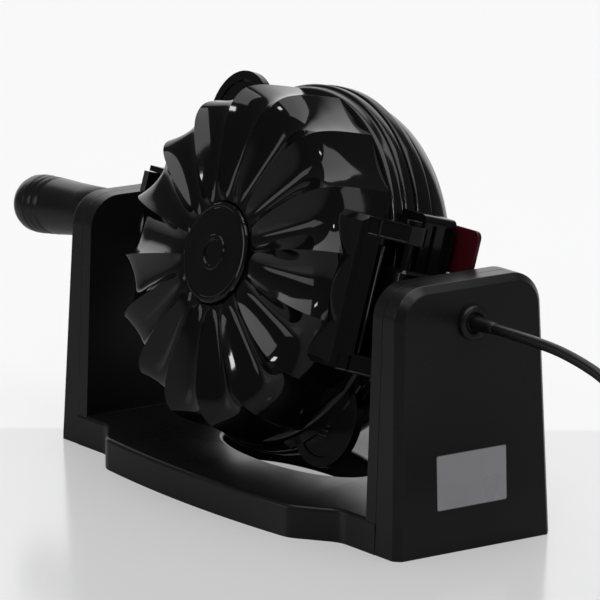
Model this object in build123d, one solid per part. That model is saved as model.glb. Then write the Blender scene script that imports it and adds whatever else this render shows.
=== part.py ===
from build123d import *
from math import atan2, cos, degrees, pi, radians, sin, sqrt, tan
import os

# Electric cake maker: a fluted lower shell and a smooth dome, closed face to face on a side
# hinge, that flip together about a level axis between the two pillars of a stand.
# Row frame: X runs along the flip axis, from the grip (-X) to the mains lead (+X); the
# flutes face -Y; Z is up. The origin is on the table, at the middle of the stand.
# The cooker is drawn in its own frame, with the seam in the plane y = 0, the flutes
# towards -y, and the flip axis along x through the origin. seat() then tilts it.

# stand
PILLAR_INNER_X = 158.0      # inner face of each pillar, from the middle
PILLAR_OUTER_X = 191.0      # outer face at the foot
PILLAR_TOP_OUTER_X = 184.0  # outer face at the top, drafted inwards
PILLAR_SPLIT_X = 168.0      # where the inner panel meets the outer cover
PILLAR_HEIGHT = 170.0
PILLAR_FOOT_Y = 61.5        # half depth at the foot
PILLAR_TOP_Y = 56.0         # half depth at the top
PILLAR_CORNER_R = 22.0
PILLAR_EDGE = 4.6           # chamfer round the outer face
STAND_WALL = 3.0
RING_HEIGHT = 21.4
RING_EDGE_R = 3.0
RING_SHOULDER_X = 132.0     # where the front wall leaves the pillar's line
RING_BULGE_X = 104.0
RING_BULGE_Y = 82.0
RING_FRONT_Y = 88.0
RING_BEND_R = 22.0
RING_OPENING_X = 73.0       # half length of the oval opening
RING_OPENING_Y = 30.0
PLATE_T = 2.5               # base cover
FIT = 0.3                   # clearance between moulded pieces
FOOT_R = 8.0
FOOT_INSET = 17.0
FOOT_DEPTH = 1.6
SCREW_R = 1.75
SCREW_HEAD_R = 3.4
SCREW_HEAD_T = 1.8
SCREW_LENGTH = 14.0
BOSS_R = 4.6
AXIS_Z = 144.0              # height of the flip axis

# flip axis
SHAFT_R = 9.0
SHAFT_BORE_R = 5.5
SHAFT_RUN = 0.08            # running clearance in the bushes
BUSH_R = 12.5
BUSH_FLANGE_R = 17.0
BUSH_FLANGE_T = 2.0
BUSH_LENGTH = 9.0
CLIP_R = 13.0
CLIP_T = 1.5
TILT = 16.0                 # how far the flutes point above level, degrees

# seam and bands
SEAM_GAP = 0.4
BAND_R = 120.0
BAND_DEPTH = 17.0
BAND_WALL = 3.0
BAND_STEP = 3.0             # each band steps in by this, away from the seam
BAND_STEP_N = 8.5
BAND_FACE_R = 104.0         # the front band's flat face runs in to here
REAR_BAND_R = 121.0
REAR_BAND_DEPTH = 15.0

# fluted shell: one ridge line, as radius, height over the seam, valley depth, lean of the wall
FLUTES = 16
HUB_R = 33.0
HUB_SEAT = 66.5
HUB_T = 3.6
HUB_RING_R = 11.7
HUB_RING_WALL = 4.4
HUB_RING_T = 1.0
SHELL_R = 116.0
SHELL_WALL = 2.4
RIDGE_LINE = (
    (46.0, 70.6, 4.5, 0.0),
    (62.0, 72.6, 8.5, 0.0),
    (80.0, 72.4, 11.0, 6.0),
    (96.5, 68.8, 10.5, 22.0),
    (107.5, 60.5, 7.5, 45.0),
    (112.5, 48.0, 5.6, 74.0),
    (114.8, 32.0, 4.6, 88.0),
)
RIM_VALLEY = 4.2

# dome
DOME_R = 116.0
DOME_SPRING = 15.0          # where the dome leaves the rear band
DOME_RISE = 56.0
DOME_SHOULDER = 36.0        # radius of the dome's shoulder

# pans
PAN_FLANGE_R = 111.0
PAN_FLANGE_T = 3.0
PAN_WALL = 3.0
FLUTED_PAN_R = 94.0
FLUTED_PAN_DEPTH = 45.0
DOME_PAN_R = 96.0
DOME_PAN_DEPTH = 38.0
PAN_SHOULDER = 26.0
GASKET_R = 2.0

# heating
HEATER_R = 58.0
HEATER_TUBE_R = 3.3
HEATER_SWEEP = 320.0
TERMINAL_LENGTH = 7.0
THERMOSTAT_R = 8.0
THERMOSTAT_T = 6.0
ROD_R = 1.2
ROD_RUN = 0.1
ROD_TRAVEL = 1.0
FUSE_R = 2.2
FUSE_LENGTH = 14.0

# side hinge
PIN_X = 136.0
PIN_N = 24.0                # hinge pin, in front of the seam
PIN_R = 4.0
PIN_RUN = 0.08
PIN_HALF = 52.0
KNUCKLE_R = 9.5
ARM_IN = 37.0               # the bracket's two arms, from here
ARM_OUT = 49.0              # to here, along the pin
BRACKET_IN_X = 96.0
BRACKET_OUT_X = 126.6
BRACKET_FRONT_N = 52.0
BRACKET_BACK_N = 38.0       # inner side of the bracket's spine
BRACKET_EDGE = 6.0
PIVOT_IN_X = 121.8
PIVOT_OUT_X = 150.0
PIVOT_FRONT_N = 34.5
PIVOT_BACK_N = 30.0
PIVOT_HALF = 21.0
HOUSING_OUT_X = 134.0
HOUSING_FRONT_N = 13.0
HOUSING_BACK_N = 12.0
HOUSING_HALF = 57.0
HOUSING_RIB = 2.0
LAMP_OUT_X = 151.0
LAMP_LOW = 24.0
LAMP_HIGH = 54.0
LAMP_T = 3.0
LAMP_IN_X = 118.0
LAMP_BOX = 5.0              # depth of the box behind the block that carries the window
LAMP_CORNER_R = 5.0

# left lug, latch and grip
LUG_OUT_X = 147.0
LUG_HALF = 15.0
LUG_FRONT_N = 16.0
LUG_BACK_N = 18.0
LATCH_X = 131.0
LATCH_N = 31.0
LATCH_LOW = 22.0            # the latch lies beside the lug, from here
LATCH_HIGH = 36.0           # to here, along the seam
LATCH_T = 5.0
LATCH_REACH = 39.0          # pivot to hook
LATCH_HOOK = 4.5
LATCH_PIN_R = 2.0
LATCH_OPEN = 9.0            # degrees swung clear of the keeper
GRIP_START_X = 193.0
GRIP_END_X = 318.0
GRIP_NECK_R = 14.0
GRIP_NECK_END = 33.0        # where the neck swells into the grip
GRIP_ROOT_R = 17.2
GRIP_END_R = 20.3
GRIP_DROOP = 5.0            # degrees
GRIP_NOSE = 12.0
COLLAR_R = 17.5
COLLAR_T = 6.0

# ears
EAR_ANGLE = 134.0
EAR_REACH = 149.0
EAR_R = 32.0
EAR_T = 5.5
EAR_N = 12.0

# mains lead
CORD_D = 7.0
GLAND_R = 11.0
GLAND_T = 4.5
SLEEVE_R = 5.4
SLEEVE_TIP_R = 4.3
SLEEVE_LENGTH = 20.0
COIL_CENTRE = (346.0, 86.0)
COIL_IN_R = 31.0
COIL_STEP = 4.5             # growth of the radius with each half turn
COIL_HALVES = 4             # half turns in the lower layer; the upper has one fewer
COIL_LAYER = 8.0
PLUG_R = 18.0
PLUG_HALF_T = 14.0
PLUG_PIN_R = 2.4
PLUG_PIN_LENGTH = 19.0
PLUG_PIN_PITCH = 19.0


def seat(piece):
    """Tilts a piece of the cooker and lifts it to the flip axis."""
    return Pos(0, 0, AXIS_Z) * Rot(-TILT, 0, 0) * piece


def rod(start, end, radius):
    """A round bar between two points."""
    a, b = Vector(*start), Vector(*end)
    plane = Plane(origin=a, z_dir=b - a)
    return plane * Cylinder(radius, (b - a).length, align=(Align.CENTER, Align.CENTER, Align.MIN))


def tube(start, end, radius, bore):
    """A round bar with a hole through it."""
    return rod(start, end, radius) - rod(start, end, bore)


def block(low, high):
    """A box between two corners."""
    size = [h - l for l, h in zip(low, high)]
    return Pos(*low) * Box(*size, align=(Align.MIN, Align.MIN, Align.MIN))


def turned(points):
    """A solid turned about the cooker's y axis from (radius, y) points."""
    face = make_face(Polyline(*[(r, y) for r, y in points], close=True))
    return revolve(face, Axis.Y, 360)


# Stand

def pillar_outline(inset=0.0):
    """A pillar seen along X: a tall shape, narrower at the top, with rounded shoulders."""
    half = PILLAR_FOOT_Y - inset
    top = PILLAR_TOP_Y - inset
    points = [(-half, 0), (half, 0), (top, PILLAR_HEIGHT - inset), (-top, PILLAR_HEIGHT - inset)]
    face = make_face(Polyline(*points, close=True))
    shoulders = face.vertices().group_by(Axis.Y)[-1]
    return fillet(shoulders, PILLAR_CORNER_R - inset)


def pillar_slab(x_low, x_high, inset=0.0):
    """The pillar's outline, drawn out along X between two planes."""
    return Plane.YZ.offset(x_low) * extrude(pillar_outline(inset), x_high - x_low)


def drafted(piece, inset=0.0):
    """Cuts a right-hand pillar piece back to the outer face, which leans in."""
    lean = (PILLAR_OUTER_X - PILLAR_TOP_OUTER_X) / PILLAR_HEIGHT
    far = PILLAR_OUTER_X + 40.0
    over = PILLAR_HEIGHT + 20.0
    foot_x = PILLAR_OUTER_X - inset
    side = [(foot_x, 0), (far, 0), (far, over), (foot_x - lean * over, over)]
    waste = Plane.XZ * make_face(Polyline(*side, close=True))
    return piece - extrude(waste, 100, both=True)


def pillar_cover():
    """The right-hand outer cover: a deep tray with chamfered edges."""
    outer = drafted(pillar_slab(PILLAR_SPLIT_X, PILLAR_OUTER_X))
    face = outer.faces().sort_by(Axis.X)[-1]
    edges = face.edges().filter_by(lambda e: e.center().Z > 1.0)
    outer = chamfer(edges, PILLAR_EDGE)
    hollow = drafted(pillar_slab(PILLAR_SPLIT_X - 1, PILLAR_OUTER_X, STAND_WALL), STAND_WALL)
    hollow -= block((0, -100, -1), (PILLAR_OUTER_X + 1, 100, 0))
    return outer - hollow


def ring_outline(inset=0.0):
    """Half of the base's plan (front and rear are alike), bulging out between the pillars."""
    end = PILLAR_SPLIT_X
    side = PILLAR_FOOT_Y - inset
    outline = []
    for s in (-1, 1):
        left = Line((-s * end, s * side), (-s * RING_SHOULDER_X, s * side))
        out = Line((-s * RING_SHOULDER_X, s * side), (-s * RING_BULGE_X, s * (RING_BULGE_Y - inset)))
        bow = ThreePointArc((-s * RING_BULGE_X, s * (RING_BULGE_Y - inset)), (0, s * (RING_FRONT_Y - inset)),
                            (s * RING_BULGE_X, s * (RING_BULGE_Y - inset)))
        back = Line((s * RING_BULGE_X, s * (RING_BULGE_Y - inset)), (s * RING_SHOULDER_X, s * side))
        right = Line((s * RING_SHOULDER_X, s * side), (s * end, s * side))
        outline += [left, out, bow, back, right]
    outline += [Line((end, -side), (end, side)), Line((-end, -side), (-end, side))]
    face = make_face(Curve() + outline)
    bends = [v for v in face.vertices() if abs(v.X) < end - 1]
    return fillet(bends, RING_BEND_R)


def screw_places():
    """Where the base cover is screwed up into the stand."""
    x, y = RING_BULGE_X - 12.0, RING_BULGE_Y - 16.0
    return [(x, y), (x, -y), (-x, y), (-x, -y), (0, RING_FRONT_Y - 14.0), (0, 14.0 - RING_FRONT_Y)]


def stand_frame():
    """The moulded frame: the base ring and the inner panel of both pillars."""
    ring = extrude(ring_outline(), RING_HEIGHT)
    opening = extrude(Ellipse(RING_OPENING_X, RING_OPENING_Y), RING_HEIGHT)
    ring -= opening
    top_edges = ring.faces().sort_by(Axis.Z)[-1].edges()
    ring = fillet([e for e in top_edges if abs(e.center().X) < PILLAR_SPLIT_X - 1], RING_EDGE_R)
    cavity = extrude(ring_outline(STAND_WALL), RING_HEIGHT - STAND_WALL)
    cavity -= extrude(Ellipse(RING_OPENING_X + STAND_WALL, RING_OPENING_Y + STAND_WALL), RING_HEIGHT)
    for x, y in screw_places():
        cavity -= Pos(x, y, 0) * Cylinder(BOSS_R, 2 * RING_HEIGHT)
    panel = pillar_slab(PILLAR_INNER_X, PILLAR_SPLIT_X)
    room = pillar_slab(PILLAR_INNER_X + STAND_WALL, PILLAR_SPLIT_X + 1, STAND_WALL)
    panel -= room
    frame = ring
    for piece in (panel, mirror(panel, Plane.YZ)):
        frame += piece
    frame -= cavity
    clear = BUSH_R
    for s in (-1, 1):
        boss_in = s * (PILLAR_INNER_X + STAND_WALL)
        boss = rod((boss_in, 0, AXIS_Z), (s * (PILLAR_SPLIT_X - 4.0), 0, AXIS_Z), BUSH_R + STAND_WALL)
        frame += boss
        frame -= rod((s * (PILLAR_INNER_X - 1), 0, AXIS_Z), (s * (PILLAR_SPLIT_X + 1), 0, AXIS_Z), clear)
    for x, y in screw_places():
        frame -= Pos(x, y, 0) * Cylinder(SCREW_R, 2 * (SCREW_LENGTH + 1))
        frame -= Pos(x, y, 0) * Cylinder(BOSS_R + FIT, 2 * PLATE_T)
    return frame


def base_outline(inset):
    """The base cover's plan: inside the ring's walls and both pillar covers."""
    plan = extrude(ring_outline(inset), PLATE_T)
    end = PILLAR_OUTER_X - inset
    side = PILLAR_FOOT_Y - inset
    plan += block((-end, -side, 0), (end, side, PLATE_T))
    return plan


def base_cover():
    """The flat plate that closes the stand below, with pockets for the feet."""
    inset = STAND_WALL + FIT
    plate = base_outline(inset)
    plate -= extrude(Ellipse(RING_OPENING_X + inset, RING_OPENING_Y + inset), PLATE_T)
    for x, y in foot_places():
        plate -= Pos(x, y, 0) * Cylinder(FOOT_R + FIT, 2 * FOOT_DEPTH)
    for x, y in screw_places():
        plate -= Pos(x, y, 0) * Cylinder(SCREW_R + FIT, 3 * PLATE_T)
        plate -= Pos(x, y, 0) * Cylinder(SCREW_HEAD_R + FIT, 2 * SCREW_HEAD_T)
    return plate


def foot_places():
    """The corners of the stand."""
    x, y = PILLAR_OUTER_X - FOOT_INSET, PILLAR_FOOT_Y - FOOT_INSET
    return [(x, y), (x, -y), (-x, y), (-x, -y)]


def rubber_feet():
    """Four pads, let into the base cover."""
    pad = Cylinder(FOOT_R, FOOT_DEPTH, align=(Align.CENTER, Align.CENTER, Align.MIN))
    return [Pos(x, y, 0) * pad for x, y in foot_places()]


def base_screws():
    """Screws with sunk heads that hold the base cover."""
    head_top = SCREW_HEAD_T
    out = []
    for x, y in screw_places():
        screw = rod((x, y, 0.3), (x, y, head_top), SCREW_HEAD_R)
        screw += rod((x, y, head_top), (x, y, SCREW_LENGTH), SCREW_R)
        screw -= Pos(x, y, 0) * Box(4.0, 0.9, 2.2)
        screw -= Pos(x, y, 0) * Box(0.9, 4.0, 2.2)
        out.append(screw)
    return out


def bush(side):
    """A flanged bush in a pillar's inner panel."""
    x0 = side * (PILLAR_INNER_X - BUSH_FLANGE_T)
    x1 = side * PILLAR_INNER_X
    x2 = side * (PILLAR_INNER_X - BUSH_FLANGE_T + BUSH_LENGTH)
    ring = rod((x0, 0, AXIS_Z), (x1, 0, AXIS_Z), BUSH_FLANGE_R)
    ring += rod((x0, 0, AXIS_Z), (x2, 0, AXIS_Z), BUSH_R)
    return ring - rod((x0, 0, AXIS_Z), (x2, 0, AXIS_Z), SHAFT_R + SHAFT_RUN)


def outer_face_x(z):
    """Where a pillar's outer face is at a height."""
    return PILLAR_OUTER_X - (PILLAR_OUTER_X - PILLAR_TOP_OUTER_X) * z / PILLAR_HEIGHT


# Cooker

def polar(radius, angle, n):
    """A point of the cooker's own frame, from radius, angle in degrees and height over the seam."""
    a = radians(angle)
    return Vector(radius * cos(a), -n, radius * sin(a))


def flute_ring(radius, n, drop, lean):
    """One station of the flutes: arcs from ridge to ridge, sunk between them."""
    step = 360.0 / FLUTES
    b = radians(lean)
    arcs = []
    for k in range(FLUTES):
        a = (k - 0.5) * step
        start = polar(radius, a, n)
        low = polar(radius - drop * sin(b), a + step / 2, n - drop * cos(b))
        arcs.append(Edge.make_three_point_arc(start, low, polar(radius, a + step, n)))
    return Wire(arcs)


def hub_ring(radius, n):
    """A plain circle, cut in as many arcs as there are flutes."""
    return flute_ring(radius, n, 0.0, 0.0)


def fluted_form():
    """The fluted shell's outside as a solid, from the front band to the hub."""
    stations = [hub_ring(HUB_R + 1.0, HUB_SEAT)]
    stations += [flute_ring(*row) for row in RIDGE_LINE]
    stations.append(flute_ring(SHELL_R, BAND_DEPTH, RIM_VALLEY, 90.0))
    return Solid.make_loft(stations, ruled=False)


def fluted_room():
    """The room inside the fluted shell, under the valleys."""
    wall = SHELL_WALL
    low = BAND_DEPTH
    points = [(0, -low), (SHELL_R - RIM_VALLEY - wall, -low)]
    for radius, n, drop, lean in reversed(RIDGE_LINE):
        b = radians(lean)
        points.append((radius - (drop + wall) * sin(b), -(n - (drop + wall) * cos(b))))
    points.append((HUB_R, wall + 2.0 - HUB_SEAT))
    points.append((0, wall + 2.0 - HUB_SEAT))
    return turned(points)


def fluted_shell(form):
    """Sixteen sharp ridges with hollow valleys, running from the hub over the shoulder."""
    return form - fluted_room()


def hub_disc():
    """The raised disc in the middle of the flutes, with a small ring on it."""
    top = HUB_SEAT + HUB_T
    disc = rod((0, -HUB_SEAT, 0), (0, -top, 0), HUB_R)
    rim = disc.edges().filter_by(GeomType.CIRCLE).sort_by(Axis.Y)[0]
    disc = fillet(rim, 1.4)
    ring = tube((0, -top, 0), (0, -top - HUB_RING_T, 0), HUB_RING_R, HUB_RING_R - HUB_RING_WALL)
    return disc + ring


def front_band():
    """The rim that carries the fluted shell, with a flat face round it."""
    g = SEAM_GAP / 2
    d = BAND_DEPTH
    lip = BAND_R - BAND_STEP
    inner = lip - BAND_WALL
    points = [(BAND_FACE_R, -d), (lip - 2.0, -d), (lip, 2.0 - d), (lip, -BAND_STEP_N - 0.6),
              (BAND_R - 0.8, -BAND_STEP_N), (BAND_R, 0.8 - BAND_STEP_N), (BAND_R, -g - 1.5),
              (BAND_R - 1.5, -g), (PAN_FLANGE_R + FIT, -g), (PAN_FLANGE_R + FIT, -PAN_FLANGE_T - 1.0),
              (inner, -PAN_FLANGE_T - 1.0), (inner, 3.0 - d), (BAND_FACE_R, 3.0 - d)]
    return turned(points)


def rear_band():
    """The matching rim on the dome's side."""
    g = SEAM_GAP / 2
    d = REAR_BAND_DEPTH
    lip = REAR_BAND_R - BAND_STEP
    points = [(DOME_R - BAND_WALL, d), (lip - 1.0, d), (lip, d - 1.0), (lip, BAND_STEP_N + 0.6),
              (REAR_BAND_R - 0.8, BAND_STEP_N), (REAR_BAND_R, BAND_STEP_N - 0.8), (REAR_BAND_R, g + 1.5),
              (REAR_BAND_R - 1.5, g), (PAN_FLANGE_R + FIT, g), (PAN_FLANGE_R + FIT, PAN_FLANGE_T + 1.0),
              (DOME_R - BAND_WALL, PAN_FLANGE_T + 1.0)]
    return turned(points)


def crown_radius(radius, rise, shoulder):
    """The radius of the flat crown that meets a round shoulder evenly."""
    return ((radius - shoulder) ** 2 + rise ** 2 - shoulder ** 2) / (2 * (rise - shoulder))


def bowl(radius, rise, spring, shoulder):
    """Half of a flattened ball that rises from a level along +y: a round shoulder and a flat crown."""
    crown = crown_radius(radius, rise, shoulder)
    low = spring + rise - crown
    lean = atan2(radius - shoulder, spring - low)
    meet = (crown * sin(lean), low + crown * cos(lean))
    half = (pi / 2 - lean) / 2
    line = [
        ThreePointArc((radius, spring),
                      (radius - shoulder + shoulder * cos(half), spring + shoulder * sin(half)), meet),
        ThreePointArc(meet, (crown * sin(lean / 2), low + crown * cos(lean / 2)), (0, spring + rise)),
        Polyline((0, spring + rise), (0, spring), (radius, spring)),
    ]
    return revolve(make_face(Curve() + line), Axis.Y, 360)


def dome_shell():
    """The smooth rear dome."""
    outer = bowl(DOME_R, DOME_RISE, DOME_SPRING, DOME_SHOULDER)
    return outer - bowl(DOME_R - SHELL_WALL, DOME_RISE - SHELL_WALL, DOME_SPRING, DOME_SHOULDER - SHELL_WALL)


def dome_pan():
    """The plain pan behind the seam."""
    g = SEAM_GAP / 2
    flange = rod((0, g, 0), (0, g + PAN_FLANGE_T, 0), PAN_FLANGE_R)
    pan = flange + bowl(DOME_PAN_R + PAN_WALL, DOME_PAN_DEPTH + PAN_WALL, g, PAN_SHOULDER + PAN_WALL)
    return pan - bowl(DOME_PAN_R, DOME_PAN_DEPTH, g, PAN_SHOULDER)


def pan_cavity():
    """The fluted hollow that shapes the cake."""
    r, n = FLUTED_PAN_R, FLUTED_PAN_DEPTH
    stations = [
        flute_ring(r, SEAM_GAP / 2, 5.0, 90.0),
        flute_ring(r - 3.0, 0.5 * n, 6.5, 82.0),
        flute_ring(r - 12.0, 0.88 * n, 7.5, 45.0),
        flute_ring(0.62 * r, n, 6.0, 0.0),
        hub_ring(0.3 * r, 0.92 * n),
    ]
    return Solid.make_loft(stations, ruled=True)


def fluted_pan():
    """The fluted baking pan in front of the seam."""
    g = SEAM_GAP / 2
    r = FLUTED_PAN_R + PAN_WALL
    deep = g + FLUTED_PAN_DEPTH + PAN_WALL
    flange = rod((0, -g, 0), (0, -g - PAN_FLANGE_T, 0), PAN_FLANGE_R)
    body = turned([(0, -g), (r, -g), (r - 1.0, -0.55 * deep), (r - 9.0, -0.86 * deep), (0.66 * r, -deep),
                   (0, -deep)])
    return flange + body - pan_cavity()


def heater(n):
    """A tubular element, an open loop with two cold ends."""
    start = -HEATER_SWEEP / 2
    path_face = Plane.XY * Pos(HEATER_R, 0) * Circle(HEATER_TUBE_R)
    loop = revolve(path_face, Axis.Y, HEATER_SWEEP)
    loop = Rot(0, -start, 0) * loop
    out = Pos(0, -n, 0) * loop
    for a in (start, -start):
        root = polar(HEATER_R, a, n)
        side = 1 if n > 0 else -1
        out += rod(tuple(root), tuple(root - Vector(0, side * TERMINAL_LENGTH, 0)), HEATER_TUBE_R * 0.8)
    return out


def thermostat(y_base, sign):
    """A snap-disc thermostat: a round can with a bore for its rod."""
    far = y_base + sign * THERMOSTAT_T
    can = rod((0, y_base, 0), (0, far, 0), THERMOSTAT_R)
    for s in (-1, 1):
        can += block((s * 5.0 - 1.5, min(far, far + sign * 2.0), -0.5), (s * 5.0 + 1.5, max(far, far + sign * 2.0), 0.5))
    bore_start = y_base + sign * 1.0
    return can - rod((0, bore_start, 0), (0, far + sign * 1.0, 0), ROD_R + ROD_RUN)


def thermostat_rod(y_base, sign):
    """The ceramic rod that the disc pushes."""
    start = y_base + sign * 1.0
    end = y_base + sign * (THERMOSTAT_T - ROD_TRAVEL)
    return rod((0, start, 0), (0, end, 0), ROD_R)


# Side hinge

def hinge_housing():
    """The rear half's block beside the seam, with upright ribs and a box for the pivot."""
    x0, x1 = BAND_R - 12.0, HOUSING_OUT_X
    core = block((x0, -HOUSING_FRONT_N, -HOUSING_HALF), (x1, HOUSING_BACK_N, HOUSING_HALF))
    upright = core.edges().filter_by(Axis.Y).group_by(Axis.X)[-1]
    core = fillet(upright, 5.0)
    for n in (-6.5, 6.5):
        groove = block((x1 - HOUSING_RIB, n - 3.0, -HOUSING_HALF + 6.0), (x1 + 1, n + 3.0, HOUSING_HALF - 6.0))
        core -= groove
    pivot = block((PIVOT_IN_X, -PIVOT_FRONT_N, -PIVOT_HALF), (PIVOT_OUT_X, PIVOT_BACK_N, PIVOT_HALF))
    pivot = fillet(pivot.edges().filter_by(Axis.Z), 4.0)
    pivot = chamfer(pivot.faces().sort_by(Axis.X)[-1].edges(), 2.0)
    box = block((x0, 0, LAMP_LOW + 2.0), (LAMP_IN_X + 9.0, HOUSING_BACK_N + LAMP_BOX, LAMP_HIGH - 2.0))
    body = core + pivot + box
    # room for the two bands, the pan flange behind the seam and the dome
    clear = BAND_R + 1.0
    body -= rod((0, 0, 0), (0, -60, 0), clear)
    body -= rod((0, 0, 0), (0, REAR_BAND_DEPTH, 0), REAR_BAND_R)
    body -= rod((0, 0, 0), (0, 60, 0), DOME_R)
    body -= rod((x0 - 1, 0, 0), (PIVOT_OUT_X + 1, 0, 0), SHAFT_R)
    pin = rod((PIN_X, -PIN_N, -PIN_HALF - 9), (PIN_X, -PIN_N, PIN_HALF + 9), PIN_R)
    return body - pin


def hinge_bracket(form):
    """The front half's C-shaped bracket, whose two arms turn on the pin."""
    spine = block((BRACKET_IN_X, -BRACKET_FRONT_N, -ARM_OUT), (BRACKET_OUT_X, -BAND_DEPTH, ARM_OUT))
    front = spine.faces().sort_by(Axis.Y)[0]
    edges = front.edges().filter_by(Axis.Z).sort_by(Axis.X)
    spine = chamfer(edges[-1], BRACKET_EDGE)
    ends = spine.faces().sort_by(Axis.Y)[0].edges().filter_by(Axis.X)
    spine = chamfer(ends, BRACKET_EDGE * 0.7)
    gap = BRACKET_BACK_N
    spine -= block((PIVOT_IN_X - 6.0, -gap, -ARM_IN), (BRACKET_OUT_X + 1, 0, ARM_IN))
    body = spine
    bar_x = BRACKET_OUT_X + 5.0
    for s in (-1, 1):
        low, high = sorted((s * ARM_IN, s * ARM_OUT))
        arm = block((BRACKET_OUT_X - 6.0, -(BRACKET_FRONT_N - BRACKET_EDGE), low), (bar_x, -PIN_N, high))
        arm += rod((PIN_X, -PIN_N, low), (PIN_X, -PIN_N, high), KNUCKLE_R)
        body += arm
    # the raised rib: a bar along the upper arm and a spine down the side
    spine_n = BRACKET_FRONT_N - BRACKET_EDGE
    body += block((BRACKET_OUT_X - 1, -spine_n, -ARM_OUT), (BRACKET_OUT_X + 2.5, 7.0 - spine_n, ARM_OUT))
    body -= rod((PIN_X, -PIN_N, -ARM_OUT - 1), (PIN_X, -PIN_N, ARM_OUT + 1), PIN_R + PIN_RUN)
    body -= form
    body -= rod((0, 0, 0), (0, -BAND_DEPTH, 0), BAND_R + 0.01)
    return body


def hinge_pin():
    """The steel pin with a head at each end."""
    pin = rod((PIN_X, -PIN_N, -PIN_HALF), (PIN_X, -PIN_N, PIN_HALF), PIN_R)
    for s in (-1, 1):
        pin += rod((PIN_X, -PIN_N, s * (ARM_OUT + 0.5)), (PIN_X, -PIN_N, s * PIN_HALF), PIN_R + 1.5)
    return pin


def lamp_window():
    """The dark red window plate at the end of the hinge block."""
    n_mid = HOUSING_BACK_N + LAMP_BOX + LAMP_T / 2
    outline = Pos((LAMP_IN_X + LAMP_OUT_X) / 2, (LAMP_LOW + LAMP_HIGH) / 2) * RectangleRounded(
        LAMP_OUT_X - LAMP_IN_X, LAMP_HIGH - LAMP_LOW, LAMP_CORNER_R)
    return Plane.XZ.offset(-n_mid - LAMP_T / 2) * extrude(outline, LAMP_T)


def ears():
    """Two round lifting ears, opposite each other on the front band."""
    out = []
    centre = EAR_REACH - EAR_R
    for s, angle in ((1, EAR_ANGLE), (-1, EAR_ANGLE - 180.0)):
        middle = polar(centre, angle, EAR_N)
        ear = Pos(middle.X, middle.Y, middle.Z) * Rot(90, 0, 0) * Cylinder(EAR_R, EAR_T)
        ear = fillet(ear.edges().filter_by(GeomType.CIRCLE), 1.6)
        dish = Pos(middle.X, middle.Y - EAR_T / 2, middle.Z) * Rot(90, 0, 0) * Cylinder(EAR_R - 7.0, 2.4)
        ear -= dish
        for k in range(4):
            ear += Pos(middle.X, middle.Y - EAR_T / 2 + 0.9, middle.Z + s * (1.0 + 3.4 * k)) * Box(
                16.0 - k, 0.9, 1.2)
        out.append(ear - rod((0, 20, 0), (0, -40, 0), BAND_R - BAND_STEP))
    return out


# Left side

def left_lug():
    """The block on the rear band that holds the grip's shaft."""
    body = block((-LUG_OUT_X, -LUG_FRONT_N, -LUG_HALF), (-BAND_R + 10.0, LUG_BACK_N, LUG_HALF))
    body = fillet(body.edges().filter_by(Axis.X), 5.0)
    body -= rod((0, 0, 0), (0, -60, 0), BAND_R + 3.0)
    body -= rod((0, 0, 0), (0, REAR_BAND_DEPTH, 0), REAR_BAND_R)
    body -= rod((0, 0, 0), (0, 60, 0), DOME_R)
    return body - rod((-LUG_OUT_X - 1, 0, 0), (-BAND_R, 0, 0), SHAFT_R)


def latch_seat(form):
    """The two cheeks on the front band between which the latch swings."""
    cheeks = []
    for low, high in ((LATCH_LOW - 4.0, LATCH_LOW - FIT), (LATCH_HIGH + FIT, LATCH_HIGH + 4.0)):
        cheek = block((-LATCH_X - 5.0, -LATCH_N - 5.0, low), (-BAND_R + 20.0, -BAND_DEPTH, high))
        cheeks.append(cheek)
    bridge = block((-LATCH_X + 9.0, -LATCH_N - 5.0, LATCH_LOW - 4.0),
                   (-BAND_R + 20.0, -BAND_DEPTH, LATCH_HIGH + 4.0))
    body = cheeks[0] + cheeks[1] + bridge
    body -= form
    return body - latch_axis(LATCH_PIN_R)


def latch_axis(radius):
    """The latch's pin line."""
    return rod((-LATCH_X, -LATCH_N, LATCH_LOW - 4.0), (-LATCH_X, -LATCH_N, LATCH_HIGH + 4.0), radius)


def latch_lever():
    """The hook that keeps the halves shut, drawn swung clear."""
    mid = (LATCH_LOW + LATCH_HIGH) / 2
    width = LATCH_HIGH - LATCH_LOW
    half = LATCH_T / 2
    bar = block((-LATCH_X - half, -LATCH_N - 12.0, LATCH_LOW), (-LATCH_X + half, LATCH_REACH - LATCH_N, LATCH_HIGH))
    hook = block((-LATCH_X, LATCH_REACH - LATCH_N - 4.0, LATCH_LOW),
                 (-LATCH_X + half + LATCH_HOOK, LATCH_REACH - LATCH_N, LATCH_HIGH))
    eye = rod((-LATCH_X, -LATCH_N, LATCH_LOW), (-LATCH_X, -LATCH_N, LATCH_HIGH), LATCH_PIN_R + 2.4)
    lever = bar + hook + eye - latch_axis(LATCH_PIN_R + 0.08)
    turn = Axis((-LATCH_X, -LATCH_N, mid), (0, 0, 1))
    return lever.rotate(turn, LATCH_OPEN) if width > 0 else lever


def latch_keeper():
    """The ledge on the rear band that the hook goes under."""
    x1 = -LATCH_X + LATCH_T / 2 + 0.6
    body = block((x1, SEAM_GAP, LATCH_LOW), (-BAND_R + 18.0, LATCH_REACH - LATCH_N - 4.6, LATCH_HIGH))
    body -= rod((0, 0, 0), (0, REAR_BAND_DEPTH, 0), REAR_BAND_R)
    return body


def shaft_left():
    """The solid shaft from the lug to the grip."""
    return rod((-BAND_R - 3.5, 0, 0), (-GRIP_START_X - 40.0, 0, 0), SHAFT_R)


def shaft_right():
    """The hollow shaft that lets the leads through the right-hand pillar."""
    return tube((PIVOT_IN_X + 0.4, 0, 0), (PILLAR_SPLIT_X + 6.0, 0, 0), SHAFT_R, SHAFT_BORE_R)


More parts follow.
